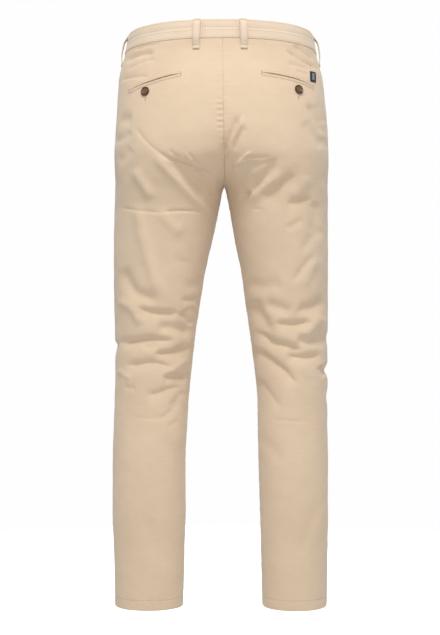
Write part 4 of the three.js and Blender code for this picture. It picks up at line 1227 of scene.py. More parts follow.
class Trousers:
    """Builds every piece."""

    # Upper and lower height, and the distance between rows behind and in front
    rows_between = (
        (PANEL_TOP_Z, -19.0, 0.7, 0.7),
        (-19.0, -60.0, 2.1, 3.0),
        (-60.0, -96.0, 1.5, 3.2),
        (-96.0, -150.0, 1.7, 3.2),
        (-150.0, -240.0, 1.6, 3.0),
        (-240.0, -256.0, 1.3, 1.0),
        (-256.0, -330.0, 1.7, 3.0),
        (-330.0, -460.0, 3.3, 4.0),
        (-460.0, -640.0, 1.7, 3.0),
        (-640.0, -700.0, 2.4, 4.0),
        (-700.0, HEM_STITCH + 6, 5.0, 6.0),
        (HEM_STITCH + 6, HEM_STITCH - 3, 0.7, 0.7),
        (HEM_STITCH - 3, HEM_Z + 3, 2.2, 2.2),
        (HEM_Z + 3, HEM_Z, 0.6, 0.6),
    )

    # Columns: distances of the first ones from a panel's edge, and the pitch of the rest
    near_edge = (0.0, 0.4, 0.9, 1.5, 2.3, 3.4, 4.8)
    column_pitches = {Face.BACK: 2.7, Face.FRONT: 3.6}
    usual_width = 260.0
    hem_step = 1.5
    lap_shares = (0.15, 0.3, 0.45, 0.6, 0.74, 0.86, 0.94, 0.98, 1.0)
    facing_columns = 26
    facing_crowding = 1.2

    def __init__(self, cloth: Cloth, workshop: Workshop) -> None:
        self.cloth = cloth
        self.figure = cloth.figure
        self.workshop = workshop

    def levels(self, face: Face) -> Array:
        """Heights of a panel's rows, from the waist down."""
        levels = [PANEL_TOP_Z]
        for high, low, behind, in_front in self.rows_between:
            steps = max(round((high - low) / (behind if face is Face.BACK else in_front)), 1)
            levels.extend(high + (low - high) * (i + 1) / steps for i in range(steps))
        return np.array(levels)

    def shares(self, face: Face) -> Array:
        """Places of columns across a panel, closer together at its edges."""
        near = np.array(self.near_edge) / self.usual_width
        steps = round(self.usual_width * (1 - 2 * near[-1]) / self.column_pitches[face])
        middle = np.linspace(near[-1], 1 - near[-1], steps + 1)[1:-1]
        return np.concatenate([near, middle, (1 - near)[::-1]])

    def column_shares(self, side: Side, face: Face, level: Array, share: Array) -> Array:
        """Moves the columns next to the middle along where the half ovals become whole tubes."""
        length = self.figure.length(side, face, level)
        crotch = self.figure.length(side, face, np.array([CROTCH_Z]))[0]
        fork = crotch * (1 - (level - CROTCH_Z) / FORK_REACH)
        ahead = np.where(level < CROTCH_Z, 1.0, np.maximum(length, fork) / length)[:, None]
        return share * ahead + (1 - ahead) * share**FORK_POWER

    def panel(self, side: Side, face: Face) -> None:
        """A leg's back or front, as one thin shell from the waistband to the hem."""
        level = self.levels(face)
        start, end = self.cloth.edges(side, face, level)
        share = self.column_shares(side, face, level, self.shares(face)[None, :])
        distance = start[:, None] + (end - start)[:, None] * share
        lift = 0.0
        if (side, face) == (Side.LEFT, Face.FRONT):
            lift = self.fly_lift(level, distance)
        elif face is Face.BACK:
            flat = self.figure.trace(side, face, level, distance)[0]
            pocket = next(pocket for pocket in POCKETS if pocket.side is side)
            lift = pocket.slit(side.value * flat[..., 0], flat[..., 2])
        points, _ = self.cloth.surface(side, face, level, distance, lift)
        thick = CLOTH + HEM_EXTRA * smooth((HEM_STITCH + self.hem_step - level) / self.hem_step)
        base, inward = self.figure.trace(side, face, level, distance, lift)
        inner = base - inward * thick[:, None, None]
        around = face.value * distance
        if (side, face) == (Side.LEFT, Face.FRONT):
            points, inner, around = self.add_fly_lap(level, points, inner, around)
        uv = across_and_up(around, level[:, None])
        name = f"{face.name.lower()}_panel_{side.name.lower()}"
        piece = self.workshop.slab(f"{name}_cloth", points, inner, uv, TWILL, [name])
        flat, area = self.flat_size(level, end - start)

    @staticmethod
    def flat_size(level: Array, width: Array) -> tuple[tuple[float, float], float]:
        """The sides and area, in metres, of a piece with a width at each level."""
        area = float(np.sum((width[1:] + width[:-1]) / 2 * np.abs(np.diff(level)))) * MM * MM
        return (float(width.max()) * MM, float(level[0] - level[-1]) * MM), area

    def fly_lift(self, level: Array, distance: Array) -> Array:
        """How far the left front rises over the right one."""
        lift = FLY_LIFT * smooth((level - FLY_LOW_Z + FLY_LIFT_DROP) / FLY_LIFT_FADE)[:, None]
        length = self.figure.length(Side.LEFT, Face.FRONT, level)[:, None]
        return lift * smooth((distance - length + FLY_RISE_END + FLY_RISE_RUN) / FLY_RISE_RUN)

    def add_fly_lap(
        self, level: Array, points: Array, inner: Array, around: Array
    ) -> tuple[Array, Array, Array]:
        """Carries the left front on over the right one, as far as the fly reaches down."""
        lap = FLY_LAP * smooth((level - FLY_LOW_Z) / FLY_LAP_FADE)[:, None]
        part = np.array(self.lap_shares)
        length = self.figure.length(Side.RIGHT, Face.FRONT, level)[:, None]
        far = length - lap * part
        lift = FLY_LIFT - seam_roll(lap * (1 - part))
        over, _ = self.figure.trace(Side.RIGHT, Face.FRONT, level, far, lift)
        under, _ = self.figure.trace(Side.RIGHT, Face.FRONT, level, far, FLY_LIFT - CLOTH)
        sliver = np.zeros((len(level), len(part), 3))
        sliver[..., 0] = -FLY_SLIVER * part
        shut = (lap == 0)[:, :, None]
        over = np.where(shut, points[:, -1:] + sliver, over)
        under = np.where(shut, inner[:, -1:] + sliver, under)
        edge = around[:, -1:] - lap * part
        return (
            np.concatenate([points, over], axis=1),
            np.concatenate([inner, under], axis=1),
            np.concatenate([around, edge], axis=1),
        )

    def hip_facing(self, side: Side) -> None:
        """The cloth behind a slanted pocket mouth: level with the side seam, then under the front."""
        level = self.levels(Face.FRONT)
        level = level[level >= SLANT_LOW_Z - FACING_UNDER]
        mouth = self.cloth.slant(level)[:, None]
        share = np.linspace(0.0, 1.0, self.facing_columns)[None, :] ** self.facing_crowding
        distance = (mouth + FACING_UNDER) * share
        ramp = np.maximum(FACING_RAMP * mouth, FACING_LEAST_RAMP)
        depth = FACING_DEPTH * np.maximum(1 - smooth(mouth / FACING_SHUT), smooth(distance / ramp))
        outer, _ = self.figure.trace(side, Face.FRONT, level, distance, -depth - seam_roll(distance))
        inner, _ = self.figure.trace(side, Face.FRONT, level, distance, -depth - FACING_CLOTH)
        uv = across_and_up(-distance, level[:, None])
        name = f"hip_facing_{side.name.lower()}"
        piece = self.workshop.slab(f"{name}_cloth", outer, inner, uv, TWILL, [name])
        flat, area = self.flat_size(level, distance[:, -1])


class LegSewing:
    """Rows of sewing on the legs: hems, fly and slanted pockets."""

    over = 0.12
    off_seam = 1.2
    bend_z = -138.0
    bend_reach = 42.0
    pocket_rows = (1.8, 7.4)
    pocket_bars = (PANEL_TOP_Z - 12, SLANT_LOW_Z + 10)
    fly_rows = (0.0, 5.0)
    fly_off_middle = 1.5
    bar_length = 7.5
    bar_stitches = 26

    def __init__(self, trousers: Trousers) -> None:
        self.trousers = trousers
        self.cloth = trousers.cloth

    def build(self) -> None:
        """Makes every row."""
        hems = [self.hem(side, face) for side in Side for face in Face]
        self.trousers.workshop.stitches("hem_stitches", hems)
        pockets = [row for side in Side for row in self.slanted_pocket(side)]
        self.trousers.workshop.stitches("front_stitches", [*pockets, *self.fly()])

    def column(self, side: Side, level: Array, distance: Array, lift: Array | float = 0.0) -> StitchRow:
        """A row on a front, with one place at each level."""
        extra = self.over + lift
        points, normal = self.cloth.surface(side, Face.FRONT, level, distance[:, None], extra)
        return StitchRow(points[:, 0], normal[:, 0])

    def hem(self, side: Side, face: Face) -> StitchRow:
        """The row that holds a leg's turned-up edge."""
        level = np.array([HEM_STITCH])
        start, end = self.cloth.edges(side, face, level)
        distance = np.linspace(start[0] + self.off_seam, end[0] - self.off_seam, 160)
        points, normal = self.cloth.surface(side, face, level, distance[None, :], self.over)
        return StitchRow(points[0], normal[0])

    def slanted_pocket(self, side: Side) -> list[StitchRow]:
        """Two rows beside the mouth and a dense bar across each of its ends."""
        level = np.linspace(PANEL_TOP_Z - 4, SLANT_LOW_Z + 6, 90)
        rows = [self.column(side, level, self.cloth.slant(level) + inset) for inset in self.pocket_rows]
        for z in self.pocket_bars:
            rows.append(self.bar(side, z, float(self.cloth.slant(np.array([z]))[0]) + 1.0))
        return rows

    def bar(self, side: Side, z: float, start: float, lift: float = 0.0) -> StitchRow:
        """A bar of dense stitches across a seam's end."""
        level = z + zigzag(self.bar_stitches, 0.6)
        distance = np.linspace(start, start + self.bar_length, self.bar_stitches)
        row = self.column(side, level, distance, lift)
        row.pitch, row.length, row.radius = BAR_STITCH
        return row

    def fly(self) -> list[StitchRow]:
        """Two curved rows that hold the fly, with a bar at their foot."""
        rows = []
        turn = np.linspace(0, 0.5 * math.pi, 24)
        straight = np.linspace(PANEL_TOP_Z - 3, self.bend_z, 60)[:-1]
        for inset in self.fly_rows:
            reach = FLY_STITCH - inset
            bend = self.bend_z - (self.bend_reach - inset) * np.sin(turn)
            level = np.concatenate([straight, bend])
            from_middle = np.concatenate([np.full(len(straight), reach), reach * np.cos(turn)])
            from_middle = from_middle + self.fly_off_middle
            length = self.cloth.figure.length(Side.LEFT, Face.FRONT, level)
            distance = length - from_middle
            lift = self.trousers.fly_lift(level, distance[:, None])
            rows.append(self.column(Side.LEFT, level, distance, lift))
        low = self.bend_z - self.bend_reach + 3
        length = float(self.cloth.figure.length(Side.LEFT, Face.FRONT, np.array([low]))[0])
        rows.append(self.bar(Side.LEFT, low, length - 9, 0.5))
        return rows


class Waist:
    """The ring of the waist, for the waistband and what sits on it.

    A turn of 0 is the middle of the back, 1 the left side, 2 the middle front and 3 the right side.
    """

    quarters = (
        (Side.LEFT, Face.BACK, True),
        (Side.LEFT, Face.FRONT, False),
        (Side.RIGHT, Face.FRONT, True),
        (Side.RIGHT, Face.BACK, False),
    )

    def __init__(self, figure: Figure) -> None:
        self.figure = figure

    def turn_by(self, turn: float, distance: float) -> float:
        """The turn at a distance from another, at the waistband's lower edge."""
        side, face, _ = self.quarters[int((turn + math.copysign(1e-6, distance)) // 1 % 4)]
        return turn + distance / float(self.figure.length(side, face, np.array([BAND_LOW_Z]))[0])

    def quarters_of(self, turns: Array) -> Iterator[tuple[Side, Face, Array, Array]]:
        """Each quarter that has some turns, with which turns those are and their shares of its length."""
        for index, (side, face, falling) in enumerate(self.quarters):
            here = np.floor(turns % 4).astype(int) == index
            if here.any():
                part = turns[here] % 1
                yield side, face, here, 1 - part if falling else part

    def grid(self, turns: Array, levels: Array) -> Place:
        """Points and outward directions at each level and turn, rows by columns."""
        points = np.zeros((len(levels), len(turns), 3))
        normals = np.zeros_like(points)
        for side, face, here, share in self.quarters_of(turns):
            length = self.figure.length(side, face, levels)
            at, out = self.figure.trace(side, face, levels, share[None, :] * length[:, None])
            points[:, here] = at
            normals[:, here] = out
        return points, normals

    def at(self, turns: Array, levels: Array) -> Place:
        """Points and outward directions at scattered places."""
        points = np.zeros((len(turns), 3))
        normals = np.zeros_like(points)
        for side, face, here, share in self.quarters_of(turns):
            length = self.figure.length(side, face, levels[here])
            at, out = self.figure.trace(side, face, levels[here], (share * length)[:, None])
            points[here] = at[:, 0]
            normals[here] = out[:, 0]
        return points, normals


class Waistband:
    """The two-tier waistband in its three lengths, with its rows of sewing."""

    pitch = 3.0
    middle_front = 2.0
    usual_length = 560.0
    lap_starts = 16.0
    lap_up = 4.0
    sewing = (3.0, 14.6, 23.4, 32.4)
    insert_sewing = (2.2, 6.4)

    # Rows of points, closer together at the edges, the sewing and the groove
    low_rows = (0, 0.3, 0.7, 1.2, 2, 3, 4.5, 6.5, 9, 11.5, 13.8, 15.4, 16.6, 17.4, 18, 18.5)
    high_rows = (19, 19.5, 20, 20.6, 21.4, 22.6, 24.2, 26, 28, 30, 31.6, 32.8, 33.6, 34.2, 34.7, 35)
    near_end = (0, 0.5, 1.2, 2.2)

    # How the face sinks, rolls and bumps, each with its width or period
    groove_width = 1.3
    groove_depth = 0.55
    edge_roll = 0.9
    end_roll = 0.7
    roll_width = 0.8
    row_sinks = 0.15
    row_width = 0.9
    row_bumps = 0.1
    row_bumps_width = 3.0
    row_bumps_period = 6.5
    groove_bumps = 0.16
    groove_bumps_width = 4.0
    groove_bumps_period = 9.5
    groove_bumps_lean = 0.4
    softness = 0.3
    softness_length = 47.0

    hole_length = 18.0
    hole_half = 0.8
    hole_stitches = 66

    def __init__(self, waist: Waist, workshop: Workshop) -> None:
        self.waist = waist
        self.workshop = workshop
        left = waist.turn_by(0, INSERT_LEFT)
        right = waist.turn_by(0, -INSERT_RIGHT)
        self.start = waist.turn_by(self.middle_front, -self.lap_starts)
        self.up = waist.turn_by(self.middle_front, -self.lap_up)
        # First and last turn of each length, and the millimetres that its columns are spread over
        self.spans = {
            "waistband_back_insert": (right, left, INSERT_LEFT + INSERT_RIGHT),
            "waistband_left": (left, waist.turn_by(self.middle_front, BAND_LAP), self.usual_length),
            "waistband_right": (self.middle_front, 4 + right, self.usual_length),
        }

    def lift(self, name: str, turns: Array) -> Array:
        """How far the left length rises over the right one in front."""
        if name != "waistband_left":
            return np.zeros_like(turns)
        return BAND_LAP_LIFT * smooth((turns - self.start) / (self.up - self.start))

    def out(self, height: Array, around: Array) -> Array:
        """How far the face stands out at each height above the lower edge and distance round the waist."""
        groove = ridge(height - BAND_GROOVE, self.groove_width)
        rolled = self.edge_roll * self.near_ends(height, BAND_HEIGHT)
        face = BAND_OUT * (1 - self.groove_depth * groove) - rolled
        for index, row in enumerate(self.sewing):
            face = face - self.row_sinks * ridge(height - row, self.row_width)
            wave = uneven(around, self.row_bumps_period + index, index)
            bumps = ridge(height - row, self.row_bumps_width) * wave
            face = face + self.row_bumps * bumps
        near = ridge(height - BAND_GROOVE, self.groove_bumps_width)
        leaning = around + self.groove_bumps_lean * height
        face = face + self.groove_bumps * near * uneven(leaning, self.groove_bumps_period, 3)
        broad = np.sin(around / self.softness_length + 1) * np.sin(height / BAND_HEIGHT * math.pi)
        return face + self.softness * broad

    def near_ends(self, place: Array, length: float) -> Array:
        """How near each place is to either end of a length."""
        return np.exp(-place / self.roll_width) + np.exp(-(length - place) / self.roll_width)

    def build(self) -> None:
        """Makes the three lengths and sews them."""
        rows = []
        height = np.array(self.low_rows + self.high_rows, float)
        for name, (first, last, length) in self.spans.items():
            ends = np.array(self.near_end) / length
            middle = np.linspace(ends[-1], 1 - ends[-1], max(int(length / self.pitch), 8))[1:-1]
            part = np.concatenate([ends, middle, (1 - ends)[::-1]])
            turns = first + (last - first) * part
            around = turns * BAND_QUARTER
            points, normal = self.waist.grid(turns, BAND_LOW_Z + height)
            face = self.out(height[:, None], around[None, :])
            face = face - self.end_roll * self.near_ends(part * length, length)[None, :]
            lift = self.lift(name, turns)[None, :]
            outer = points + normal * (face + lift)[..., None]
            inner = points + normal * (BAND_INSIDE + lift)[..., None]
            uv = across_and_up(around[None, :], height[:, None])
            piece = self.workshop.slab(f"{name}_cloth", outer, inner, uv, BAND_TWILL_PAINTED_LIGHT, [name])
            run(outer[16])
            inset = 2.0 / length
            along = np.linspace(inset, 1 - inset, int(length / 4))
            for row in self.sewing:
                rows.append(self.row(name, first + (last - first) * along, np.full(len(along), row)))
        tall = np.linspace(2, BAND_HEIGHT - 2, 14)
        for edge, inward in zip(self.spans["waistband_back_insert"], (1, -1)):
            for inset in self.insert_sewing:
                turn = edge + inward * inset / BAND_QUARTER
                rows.append(self.row("waistband_back_insert", np.full(len(tall), turn), tall))
        self.workshop.stitches("waistband_stitches", rows + self.buttonhole())

    def buttonhole(self) -> list[StitchRow]:
        """The worked slit that the front button is in."""
        button = self.waist.turn_by(self.middle_front, BAND_LAP - BUTTON_INSET)
        far = self.waist.turn_by(self.middle_front, BAND_LAP - BUTTON_INSET - self.hole_length)
        turns = np.linspace(far, button, self.hole_stitches)
        rows = []
        for offset in (-self.hole_half, self.hole_half):
            height = BAND_HEIGHT / 2 + offset + zigzag(self.hole_stitches, 0.5)
            row = self.row("waistband_left", turns, height)
            row.pitch, row.length, row.radius = HOLE_STITCH
            rows.append(row)
        return rows

    def row(self, name: str, turns: Array, height: Array) -> StitchRow:
        """A line of sewing on the band at each turn and height."""
        points, normal = self.waist.at(turns, BAND_LOW_Z + height)
        face = self.out(height, turns * BAND_QUARTER)
        lift = face + self.lift(name, turns)
        return StitchRow(points + normal * (lift + 0.12)[:, None], normal)


class BeltLoop:
    """A belt loop: a folded strip, sewn to the waistband's top and below it."""

    width = 12.5
    thick = 1.8
    seat = 0.8

    # How far the strip stands off at some heights, as a share of its middle's
    heights = (-19.5, -15, -10, -4, 4, 14, 22, 28, 31.5, 35.6)
    bulges = (0, 0.03, 0.3, 0.72, 0.95, 1, 0.95, 0.64, 0.24, 0.14)
    foot_z = -19.5
    top_z = 35.6

    # Columns and rows of points, closer together at the edges
    near_edge = (0, 0.25, 0.6, 1.0, 1.5, 1.9, 2.3, 2.9, 4, 5.2)
    low_rows = (-19.5, -19.2, -18.7, -18)
    high_rows = (34.7, 35.2, 35.6)
    sewing = 1.9
    tacks = (-13.4, 33.2)

    # How the strip's top is rounded, hollowed by its sewing and folded at its foot
    edge_round = 0.9
    edge_least = 0.35
    row_sinks = 0.28
    row_width = 0.6
    crown = 0.12
    bumps = 0.1
    bumps_width = 1.5
    bumps_period = 5.5
    fold_up = 6.2
    fold_sinks = 0.5
    fold_width = 0.7
    foot_thicker = 0.45
    end_roll = 0.9
    end_roll_width = 0.5

    def __init__(self, waist: Waist, workshop: Workshop) -> None:
        self.waist = waist
        self.workshop = workshop

    def face(self, height: Array, across: Array, stand: float) -> Array:
        """How far the strip's back stands off, for each height and place across."""
        bulge = Curve(self.heights, self.bulges)(height)
        return self.seat + (stand - self.seat) * bulge + 0 * across

    def top(self, height: Array, across: Array) -> Array:
        """Thickness of the strip: rounded edges, hollows under its sewing and a hem at its foot."""
        inset = self.width / 2 - np.abs(across)
        rounding = np.sqrt(np.clip(1 - (1 - np.clip(inset / self.edge_round, 0, 1)) ** 2, 0, 1))
        thick = self.thick * (self.edge_least + (1 - self.edge_least) * rounding)
        thick = thick - self.row_sinks * ridge(inset - self.sewing, self.row_width)
        thick = thick + self.crown * np.cos(across / self.width * 2 * math.pi)
        bumps = uneven(height, self.bumps_period, 2) * ridge(inset - self.sewing, self.bumps_width)
        thick = thick + self.bumps * bumps
        foot = height - self.foot_z
        thick = thick - self.fold_sinks * ridge(foot - self.fold_up, self.fold_width)
        thick = thick + self.foot_thicker * smooth((6 - foot) / 1.2)
        rolled = np.exp(-foot / self.end_roll_width)
        rolled = rolled + np.exp(-(self.top_z - height) / self.end_roll_width)
        return np.maximum(thick - self.end_roll * rolled, self.edge_least)

    def build(self, name: str, turn: float, stand: float) -> list[StitchRow]:
        """Makes one loop.

        Args:
            name: the solid that it stands for.
            turn: its place round the waist.
            stand: how far its middle stands off.

        Returns:
            Its rows of sewing.
        """
        half = self.width / 2
        across = np.array(self.near_edge) - half
        across = np.concatenate([across, [0], -across[::-1]])
        tack_rows = np.linspace(-17, -12.6, 8)
        height = np.concatenate([self.low_rows, tack_rows, np.linspace(-12, 34, 44), self.high_rows])
        turns = np.array([self.waist.turn_by(turn, float(step)) for step in across])
        points, normal = self.waist.grid(turns, BAND_LOW_Z + height)
        back = self.face(height[:, None], across[None, :], stand)
        front = back + self.top(height[:, None], across[None, :])
        outer = points + normal * front[..., None]
        inner = points + normal * back[..., None]
        uv = across_and_up(across[None, :] + 37 * turn, height[:, None])
        piece = self.workshop.slab(f"{name}_cloth", outer, inner, uv, BAND_TWILL_PAINTED_LIGHT, [name])
        long = run(outer[:, len(across) // 2])
        rows = []
        tall = np.linspace(-18.5, 34.5, 50)
        wide = np.linspace(-half + 1.2, half - 1.2, 30)
        for inset in (-half + self.sewing, half - self.sewing):
            rows.append(self.sew(turn, np.full(len(tall), inset), tall, stand))
        for tack in self.tacks:
            row = self.sew(turn, wide, tack + zigzag(len(wide), 0.55), stand)
            row.pitch, row.length, row.radius = TACK_STITCH
            rows.append(row)
        return rows

    def sew(self, turn: float, across: Array, height: Array, stand: float) -> StitchRow:
        """A line of sewing on the strip."""
        turns = np.array([self.waist.turn_by(turn, float(step)) for step in across])
        points, normal = self.waist.at(turns, BAND_LOW_Z + height)
        off = self.face(height, across, stand) + self.top(height, across) + 0.1
        return StitchRow(points + normal * off[:, None], normal)


@dataclass(frozen=True)
class Pocket:
    """A back pocket: its mouth runs out from the middle and dips by an even and a growing part."""

    name: str
    side: Side
    z_in: float
    even: float
    growing: float
    button_x: float
    button_z: float
    x_in: float = 72.0
    x_out: float = 164.0

    sinks = 2.6
    sinks_width = 1.9
    end_share = 0.06

    def mouth_z(self, x: Array) -> Array:
        """Height of the mouth at each distance from the middle."""
        t = (x - self.x_in) / (self.x_out - self.x_in)
        return self.z_in - self.even * t - self.growing * t**3

    def slit(self, x: Array, z: Array) -> Array:
        """How far the cloth sinks under the mouth's lips, at each place."""
        t = np.clip((x - self.x_in) / (self.x_out - self.x_in), 0, 1)
        depth = self.sinks * ridge(z - self.mouth_z(x), self.sinks_width)
        return -depth * smooth(t / self.end_share) * smooth((1 - t) / self.end_share)


POCKETS = [
    Pocket("pocket_left", Side.LEFT, -67.5, 15.8, 8.3, 134.4, -96.8),
    Pocket("pocket_right", Side.RIGHT, -65.5, 9.0, 8.8, 136.2, -93.6),
]


class BackPockets:
    """The welts, buttons, buttonholes and tab of the back pockets."""

    welt_height = 5.8
    welt_gap = 0.5
    welt_puff = 0.75
    welt_lift = 0.25
    welt_cloth = 0.6
    welt_fullness = 1.05
    gape = 1.0
    near_end = (0, 0.3, 0.8, 1.5)

    # Rows of points as shares of a welt's height, and how far each puffs out
    columns = (0, 0.04, 0.1, 0.2, 0.35, 0.55, 0.7, 0.76, 0.82, 0.92, 0.97, 1.0)
    puffs = (0.5, 0.9, 1.1, 1.2, 1.1, 0.9, 0.7, 0.5, 0.5, 0.35, 0.15, 0.0)

    sewing = 0.76
    box_stitches = 44
    hole_stitches = 60
    hole_from = 17.0
    hole_to = 1.0
    hole_half = 0.75
    tab_x = 164.0
    tab_z = -64.8
    tab_half_width = 5.5
    tab_half_height = 9.8

    def __init__(self, cloth: Cloth, workshop: Workshop) -> None:
        self.cloth = cloth
        self.workshop = workshop

    def on_back(self, side: Side, x: Array, z: Array, lift: Array | float) -> Place:
        """Points over the back at each x and height, raised by lift, with their outward directions."""
        level, distance = self.cloth.figure.find_back(side, x.ravel(), z.ravel())
        raised = np.broadcast_to(lift, x.shape).ravel()[:, None]
        points, normal = self.cloth.surface(side, Face.BACK, level, distance[:, None], raised)
        return points.reshape(*x.shape, 3), normal.reshape(*x.shape, 3)

    def build(self) -> None:
        """Makes both pockets."""
        rows = []
        for pocket in POCKETS:
            for up in (1, -1):
                rows += self.welt(pocket, up)
            rows += self.end_boxes(pocket)
            rows += self.buttonhole(pocket)
            self.button(pocket)
        self.workshop.stitches("back_pocket_stitches", rows)
        self.tab()

    def welt(self, pocket: Pocket, up: int) -> list[StitchRow]:
        """One lip of a mouth. up is 1 for the upper and -1 for the lower one."""
        long = pocket.x_out - pocket.x_in
        end = np.array(self.near_end) / long
        t = np.concatenate([end, np.linspace(end[-1], 1 - end[-1], 62)[1:-1], (1 - end)[::-1]])
        across = np.array(self.columns)
        puff = np.array(self.puffs)
        x = pocket.x_in + long * t
        open_by = self.gape * smooth(t / 0.2) * smooth((1 - t) / 0.55)
        lip = self.welt_gap / 2 + open_by[:, None] * (1 - across[None, :])
        lip = lip + across[None, :] * self.welt_height
        z = pocket.mouth_z(x)[:, None] + up * lip
        ends = 1 - 0.75 * (np.exp(-t * long / 0.6) + np.exp(-(1 - t) * long / 0.6))
        wavy = 1 + 0.1 * uneven(x, 11.0, up)
        lift = self.welt_lift + self.welt_puff * puff[None, :] * (ends * wavy)[:, None]
        wide = np.broadcast_to(x[:, None], z.shape)
        outer, _ = self.on_back(pocket.side, wide, z, lift)
        inner, _ = self.on_back(pocket.side, wide, z, self.welt_lift - self.welt_cloth)
        uv = across_and_up(wide, z)
        name = f"{pocket.name}_welt_{'upper' if up > 0 else 'lower'}"
        piece = self.workshop.slab(f"{name}_cloth", outer, inner, uv, TWILL, [name])
        line_x = np.linspace(pocket.x_in + 1.5, pocket.x_out - 1.5, 60)
        line_z = pocket.mouth_z(line_x) + up * (self.welt_gap / 2 + self.sewing * self.welt_height)
        over = self.welt_lift + 0.6 * self.welt_puff + 0.2
        points, normal = self.on_back(pocket.side, line_x, line_z, over)
        return [StitchRow(points, normal)]

    def end_boxes(self, pocket: Pocket) -> list[StitchRow]:
        """Two rows of dense stitches across each end of a mouth."""
        rows = []
        tall = 0.7 * self.welt_height
        for x in (pocket.x_in - 1.0, pocket.x_out + 1.0):
            wide = x + zigzag(self.box_stitches, 0.6)
            z = pocket.mouth_z(x) + np.linspace(-tall, tall, self.box_stitches)
            points, normal = self.on_back(pocket.side, wide, z, 0.5)
            rows.append(StitchRow(points, normal, *BOX_STITCH))
        return rows

    def buttonhole(self, pocket: Pocket) -> list[StitchRow]:
        """A worked slit below the button."""
        rows = []
        low, high = pocket.button_z - self.hole_from, pocket.button_z - self.hole_to
        z = np.linspace(low, high, self.hole_stitches)
        for offset in (-self.hole_half, self.hole_half):
            x = pocket.button_x + offset + zigzag(self.hole_stitches, 0.55)
            points, normal = self.on_back(pocket.side, x, z, 0.3)
            rows.append(StitchRow(points, normal, *HOLE_STITCH))
        return rows

    def button(self, pocket: Pocket) -> None:
        """The button over the pocket's mouth."""
        x, z = np.array([pocket.button_x]), np.array([pocket.button_z])
        points, normal = self.on_back(pocket.side, x, z, Button.lift)
        Button(self.workshop).build(f"{pocket.name}_button", points[0], normal[0], 12.0 * pocket.side.value)

    def tab(self) -> None:
        """A plain woven tab with dark edges."""
        for name, finish, inset, low, high in (
            ("pocket_tab_edge", NAVY_TAPE, 0.0, 0.6, 1.5),
            ("pocket_tab_middle", GREY_TAPE, 3.2, 1.3, 1.65),
        ):
            half_wide = self.tab_half_width - inset
            half_tall = self.tab_half_height - inset
            x = self.tab_x + np.linspace(-half_wide, half_wide, 15)
            z = self.tab_z + np.linspace(half_tall, -half_tall, 21)
            wide, tall = np.meshgrid(x, z)
            rim = np.minimum(half_wide - np.abs(wide - self.tab_x), half_tall - np.abs(tall - self.tab_z))
            top = high - 0.5 * (high - low) * np.exp(-rim / 0.35)
            outer, _ = self.on_back(Side.RIGHT, wide, tall, top)
            inner, _ = self.on_back(Side.RIGHT, wide, tall, low)
            replaced = ["pocket_tab_right"] if inset == 0 else []
            piece = self.workshop.slab(name, outer, inner, across_and_up(wide, tall), finish, replaced)
            broad, long = run(outer[10]), run(outer[:, 7])
            flat = (max(broad, LEAST_CUT), long)


